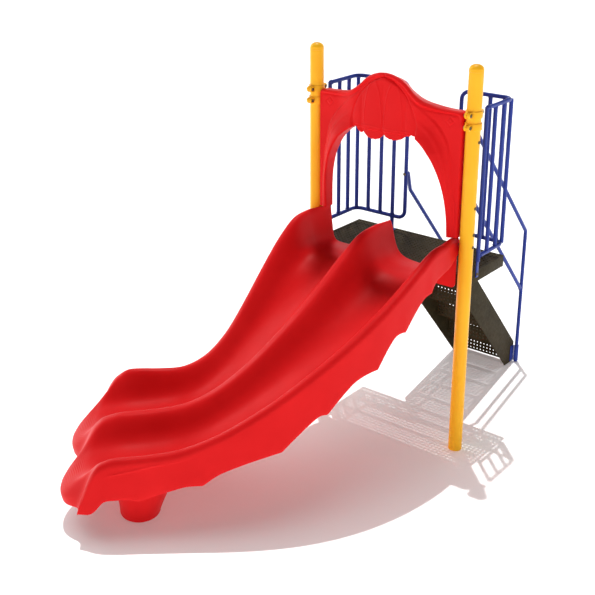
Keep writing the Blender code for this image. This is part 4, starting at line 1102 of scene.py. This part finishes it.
def build_barrier(label, side):
    node = label + "_barrier"
    low, high = local(node)
    x = (high.x if side > 0 else low.x) - side * RAIL_R
    end_x = (low.x if side > 0 else high.x) + side * RAIL_R
    y = BARRIER_REAR_Y
    end_y = y - 3 * BARRIER_PITCH
    top = 2.264
    bottom = 1.3195
    shape = Shape()
    shape.add(*tube([(x, end_y, top), (x, y, top), (end_x, y, top), (end_x, y, bottom), (x, y, bottom),
                     (x, end_y, bottom)]))
    shape.add(*tube([(x, end_y, top + 0.004), (x, end_y, 1.285)]))
    for z, up in ((bottom + RAIL_R, 1), (top - RAIL_R, -1)):
        for k in (1, 2):
            shape.add(*weld_bead((x, y - k * BARRIER_PITCH, z), (0, 0, up)))
        shape.add(*weld_bead((x, end_y + RAIL_R, z - up * RAIL_R), (0, 1, 0)))
    for k in (1, 2):
        shape.add(*tube([(x, y - k * BARRIER_PITCH, bottom), (x, y - k * BARRIER_PITCH, top)]))
    corner = (x - side * 0.006, y - 0.006)
    shape.add(*tube([(*corner, bottom), (*corner, top)]))
    k = 1
    while abs(end_x + side * REAR_PITCH * k) < abs(x) - 0.04:
        picket_x = end_x + side * REAR_PITCH * k
        floor_z = DECK_H + 0.004 if k == 1 else bottom
        shape.add(*tube([(picket_x, y, floor_z), (picket_x, y, top)]))
        for z, up in ((bottom + RAIL_R, 1), (top - RAIL_R, -1)):
            shape.add(*weld_bead((picket_x, y, z), (0, 0, up)))
        if k == 1:
            shape.add(*weld_bead((picket_x, y, bottom - RAIL_R), (0, 0, -1)))
            shape.add(*weld_bead((picket_x, y, DECK_H + GAP + 0.005), (0, 0, 1)))
        k += 1
    tab_x = side * (DECK_HALF + GAP)
    shape.add_bmesh(box((tab_x, end_y - 0.015, 1.177), (tab_x + side * 0.006, end_y + 0.015, 1.290), 0.0016))
    # flattened shoulder between the round tube and the tab
    rings = []
    for step in range(7):
        f = smoothstep(step / 6)
        z = 1.312 - 0.030 * step / 6
        half_x = RAIL_R * (1 - f) + 0.0034 * f
        half_y = RAIL_R * (1 - f) + 0.0150 * f
        centre_x = x * (1 - f) + (tab_x + side * 0.003) * f
        ring = []
        for n in range(24):
            angle = 2 * math.pi * n / 24
            ring.append((centre_x + half_x * math.cos(angle), end_y + half_y * math.sin(angle), z))
        rings.append(ring)
    shape.add(*loft(rings))
    foot_x = end_x + side * REAR_PITCH
    shape.add_bmesh(box((foot_x - 0.026, y - 0.040, DECK_H + GAP),
                        (foot_x + 0.026, y + 0.018, DECK_H + GAP + 0.005), 0.0012))
    shape.finish(node + "_frame", "blue_coat", [node], 40)


def build_handrail(label, side):
    node = label + "_handrail"
    low, high = local(node)
    barrier_low, barrier_high = local(label + "_barrier")
    end_x = (barrier_low.x if side > 0 else barrier_high.x) + side * RAIL_R
    x = (high.x if side > 0 else low.x) - side * RAIL_R
    rail_y = high.y - RAIL_R
    y0 = low.y
    upper_z, lower_z, bend_z, joint_z = 2.110, 1.640, 1.070, 0.600
    slope = (upper_z - bend_z) / (rail_y - BARRIER_REAR_Y)
    turn_y = y0 + 0.13

    def run(z_start, z_end):
        z_turn = z_start - (turn_y - BARRIER_REAR_Y) * slope
        return [(end_x, y0, z_start), (end_x, y0 + 0.018, z_start), (x, turn_y, z_turn), (x, rail_y, z_end)]

    shape = Shape()
    shape.add(*tube(run(upper_z, bend_z) + [(x, rail_y, 0.0)], 0.04))
    shape.add(*tube(run(lower_z, joint_z), 0.04))
    direction = Vector(run(lower_z, joint_z)[2]) - Vector((x, rail_y, joint_z))
    direction.normalize()
    shape.add(*weld_bead(Vector((x, rail_y, joint_z)) + direction * (RAIL_R * 1.25), direction))
    shape.finish(node + "_tube", "blue_coat", [node], 40)
    bracket = label + "_rail_bracket"
    b_low, b_high = local(bracket)
    face = b_low.x if side > 0 else b_high.x
    shape = Shape()
    shape.add_bmesh(box((face, b_low.y, b_low.z), (face + side * 0.006, rail_y - 0.016, b_high.z), 0.0014))
    cup = RAIL_R + 0.0008
    rings = []
    for step in range(17):
        angle = math.radians(-60 + 300 * step / 16)
        ca = math.cos(angle)
        sa = math.sin(angle)
        ring = []
        for r, z in ((cup, b_low.z), (cup + 0.004, b_low.z), (cup + 0.004, b_high.z), (cup, b_high.z)):
            ring.append((x + side * r * sa, rail_y + r * ca, z))
        rings.append(ring)
    shape.add(*loft(rings))
    shape.add_bmesh(box((face, rail_y - 0.0180, b_low.z),
                        (x - side * (cup + 0.0004), rail_y - 0.0120, b_high.z), 0.0012))
    shape.finish(bracket + "_cup", "blue_coat", [bracket], 40)


# =====================================================================================
# stage
# =====================================================================================
def build_stage():
    bm = bmesh.new()
    bmesh.ops.create_grid(bm, x_segments=1, y_segments=1, size=40.0)
    mesh = bpy.data.meshes.new("studio_floor")
    bm.to_mesh(mesh)
    bm.free()
    mesh.materials.append(floor_white())
    ground = bpy.data.objects.new("studio_floor", mesh)
    ground.location = (0, 0, -0.0005)
    bpy.context.scene.collection.objects.link(ground)

    world = bpy.data.worlds.new("studio")
    bpy.context.scene.world = world
    world.use_nodes = True
    # bright at the horizon and dimmer overhead, like a tall studio tent
    tree = world.node_tree
    direction = tree.nodes.new("ShaderNodeTexCoord")
    split = tree.nodes.new("ShaderNodeSeparateXYZ")
    level = tree.nodes.new("ShaderNodeMapRange")
    level.interpolation_type = "SMOOTHSTEP"
    for key, value in (("From Min", 0.0), ("From Max", 0.36), ("To Min", 2.0), ("To Max", 0.10)):
        level.inputs[key].default_value = value
    tree.links.new(direction.outputs["Generated"], split.inputs["Vector"])
    tree.links.new(split.outputs["Z"], level.inputs["Value"])
    tree.links.new(level.outputs["Result"], tree.nodes["Background"].inputs["Strength"])
    tree.nodes["Background"].inputs["Color"].default_value = (1.0, 1.0, 1.0, 1.0)

    # one sun draws the shadow on the floor, a second, lower one models the object
    for label, energy, spread, aim, only_floor in (("floor_key", 2.3, 0.7, (0.165, -0.155, -1.0), True),
                                                   ("floor_soft", 1.4, 75.0, (0.30, -0.10, -1.0), True),
                                                   ("object_key", 1.8, 8.0, (0.30, -0.37, -1.0), False),
                                                   ("side_fill", 0.55, 24.0, (0.86, 0.05, -0.50), False)):
        sun = bpy.data.lights.new(label, "SUN")
        sun.energy = energy
        sun.angle = math.radians(spread)
        lamp = bpy.data.objects.new(label, sun)
        lamp.rotation_euler = Vector(aim).to_track_quat("-Z", "Y").to_euler()
        bpy.context.scene.collection.objects.link(lamp)
        lit = bpy.data.collections.new(label + "_receivers")
        lit.objects.link(ground)
        lamp.light_linking.receiver_collection = lit
        if not only_floor:
            lit.collection_objects[0].light_linking.link_state = "EXCLUDE"

    lens = bpy.data.cameras.new("view")
    lens.sensor_width = 36.0
    lens.lens = 1069.70 * 36.0 / 595
    lens.shift_x = 0.0
    lens.shift_y = -(297.5 - 269.12) / 595
    camera = bpy.data.objects.new("view", lens)
    yaw, pitch, roll = 0.681, 0.383, -0.005
    camera.location = at(3.641, -5.422, 3.756)
    turn = Matrix.Rotation(yaw, 3, "Z") @ Matrix.Rotation(math.pi / 2 - pitch, 3, "X")
    turn = turn @ Matrix.Rotation(roll, 3, "Z")
    camera.rotation_euler = turn.to_euler()
    bpy.context.scene.collection.objects.link(camera)
    bpy.context.scene.camera = camera
    bpy.context.scene.view_settings.view_transform = "Standard"
    bpy.context.scene.view_settings.exposure = 0.26


build_chute()
build_feet()
build_arch()
build_posts()
build_collars()
build_bolts()
build_deck()
build_ribs_and_brackets()
build_stair()
build_barrier("left", -1)
build_barrier("right", 1)
build_handrail("left", -1)
build_handrail("right", 1)
build_stage()

bpy.context.view_layer.update()
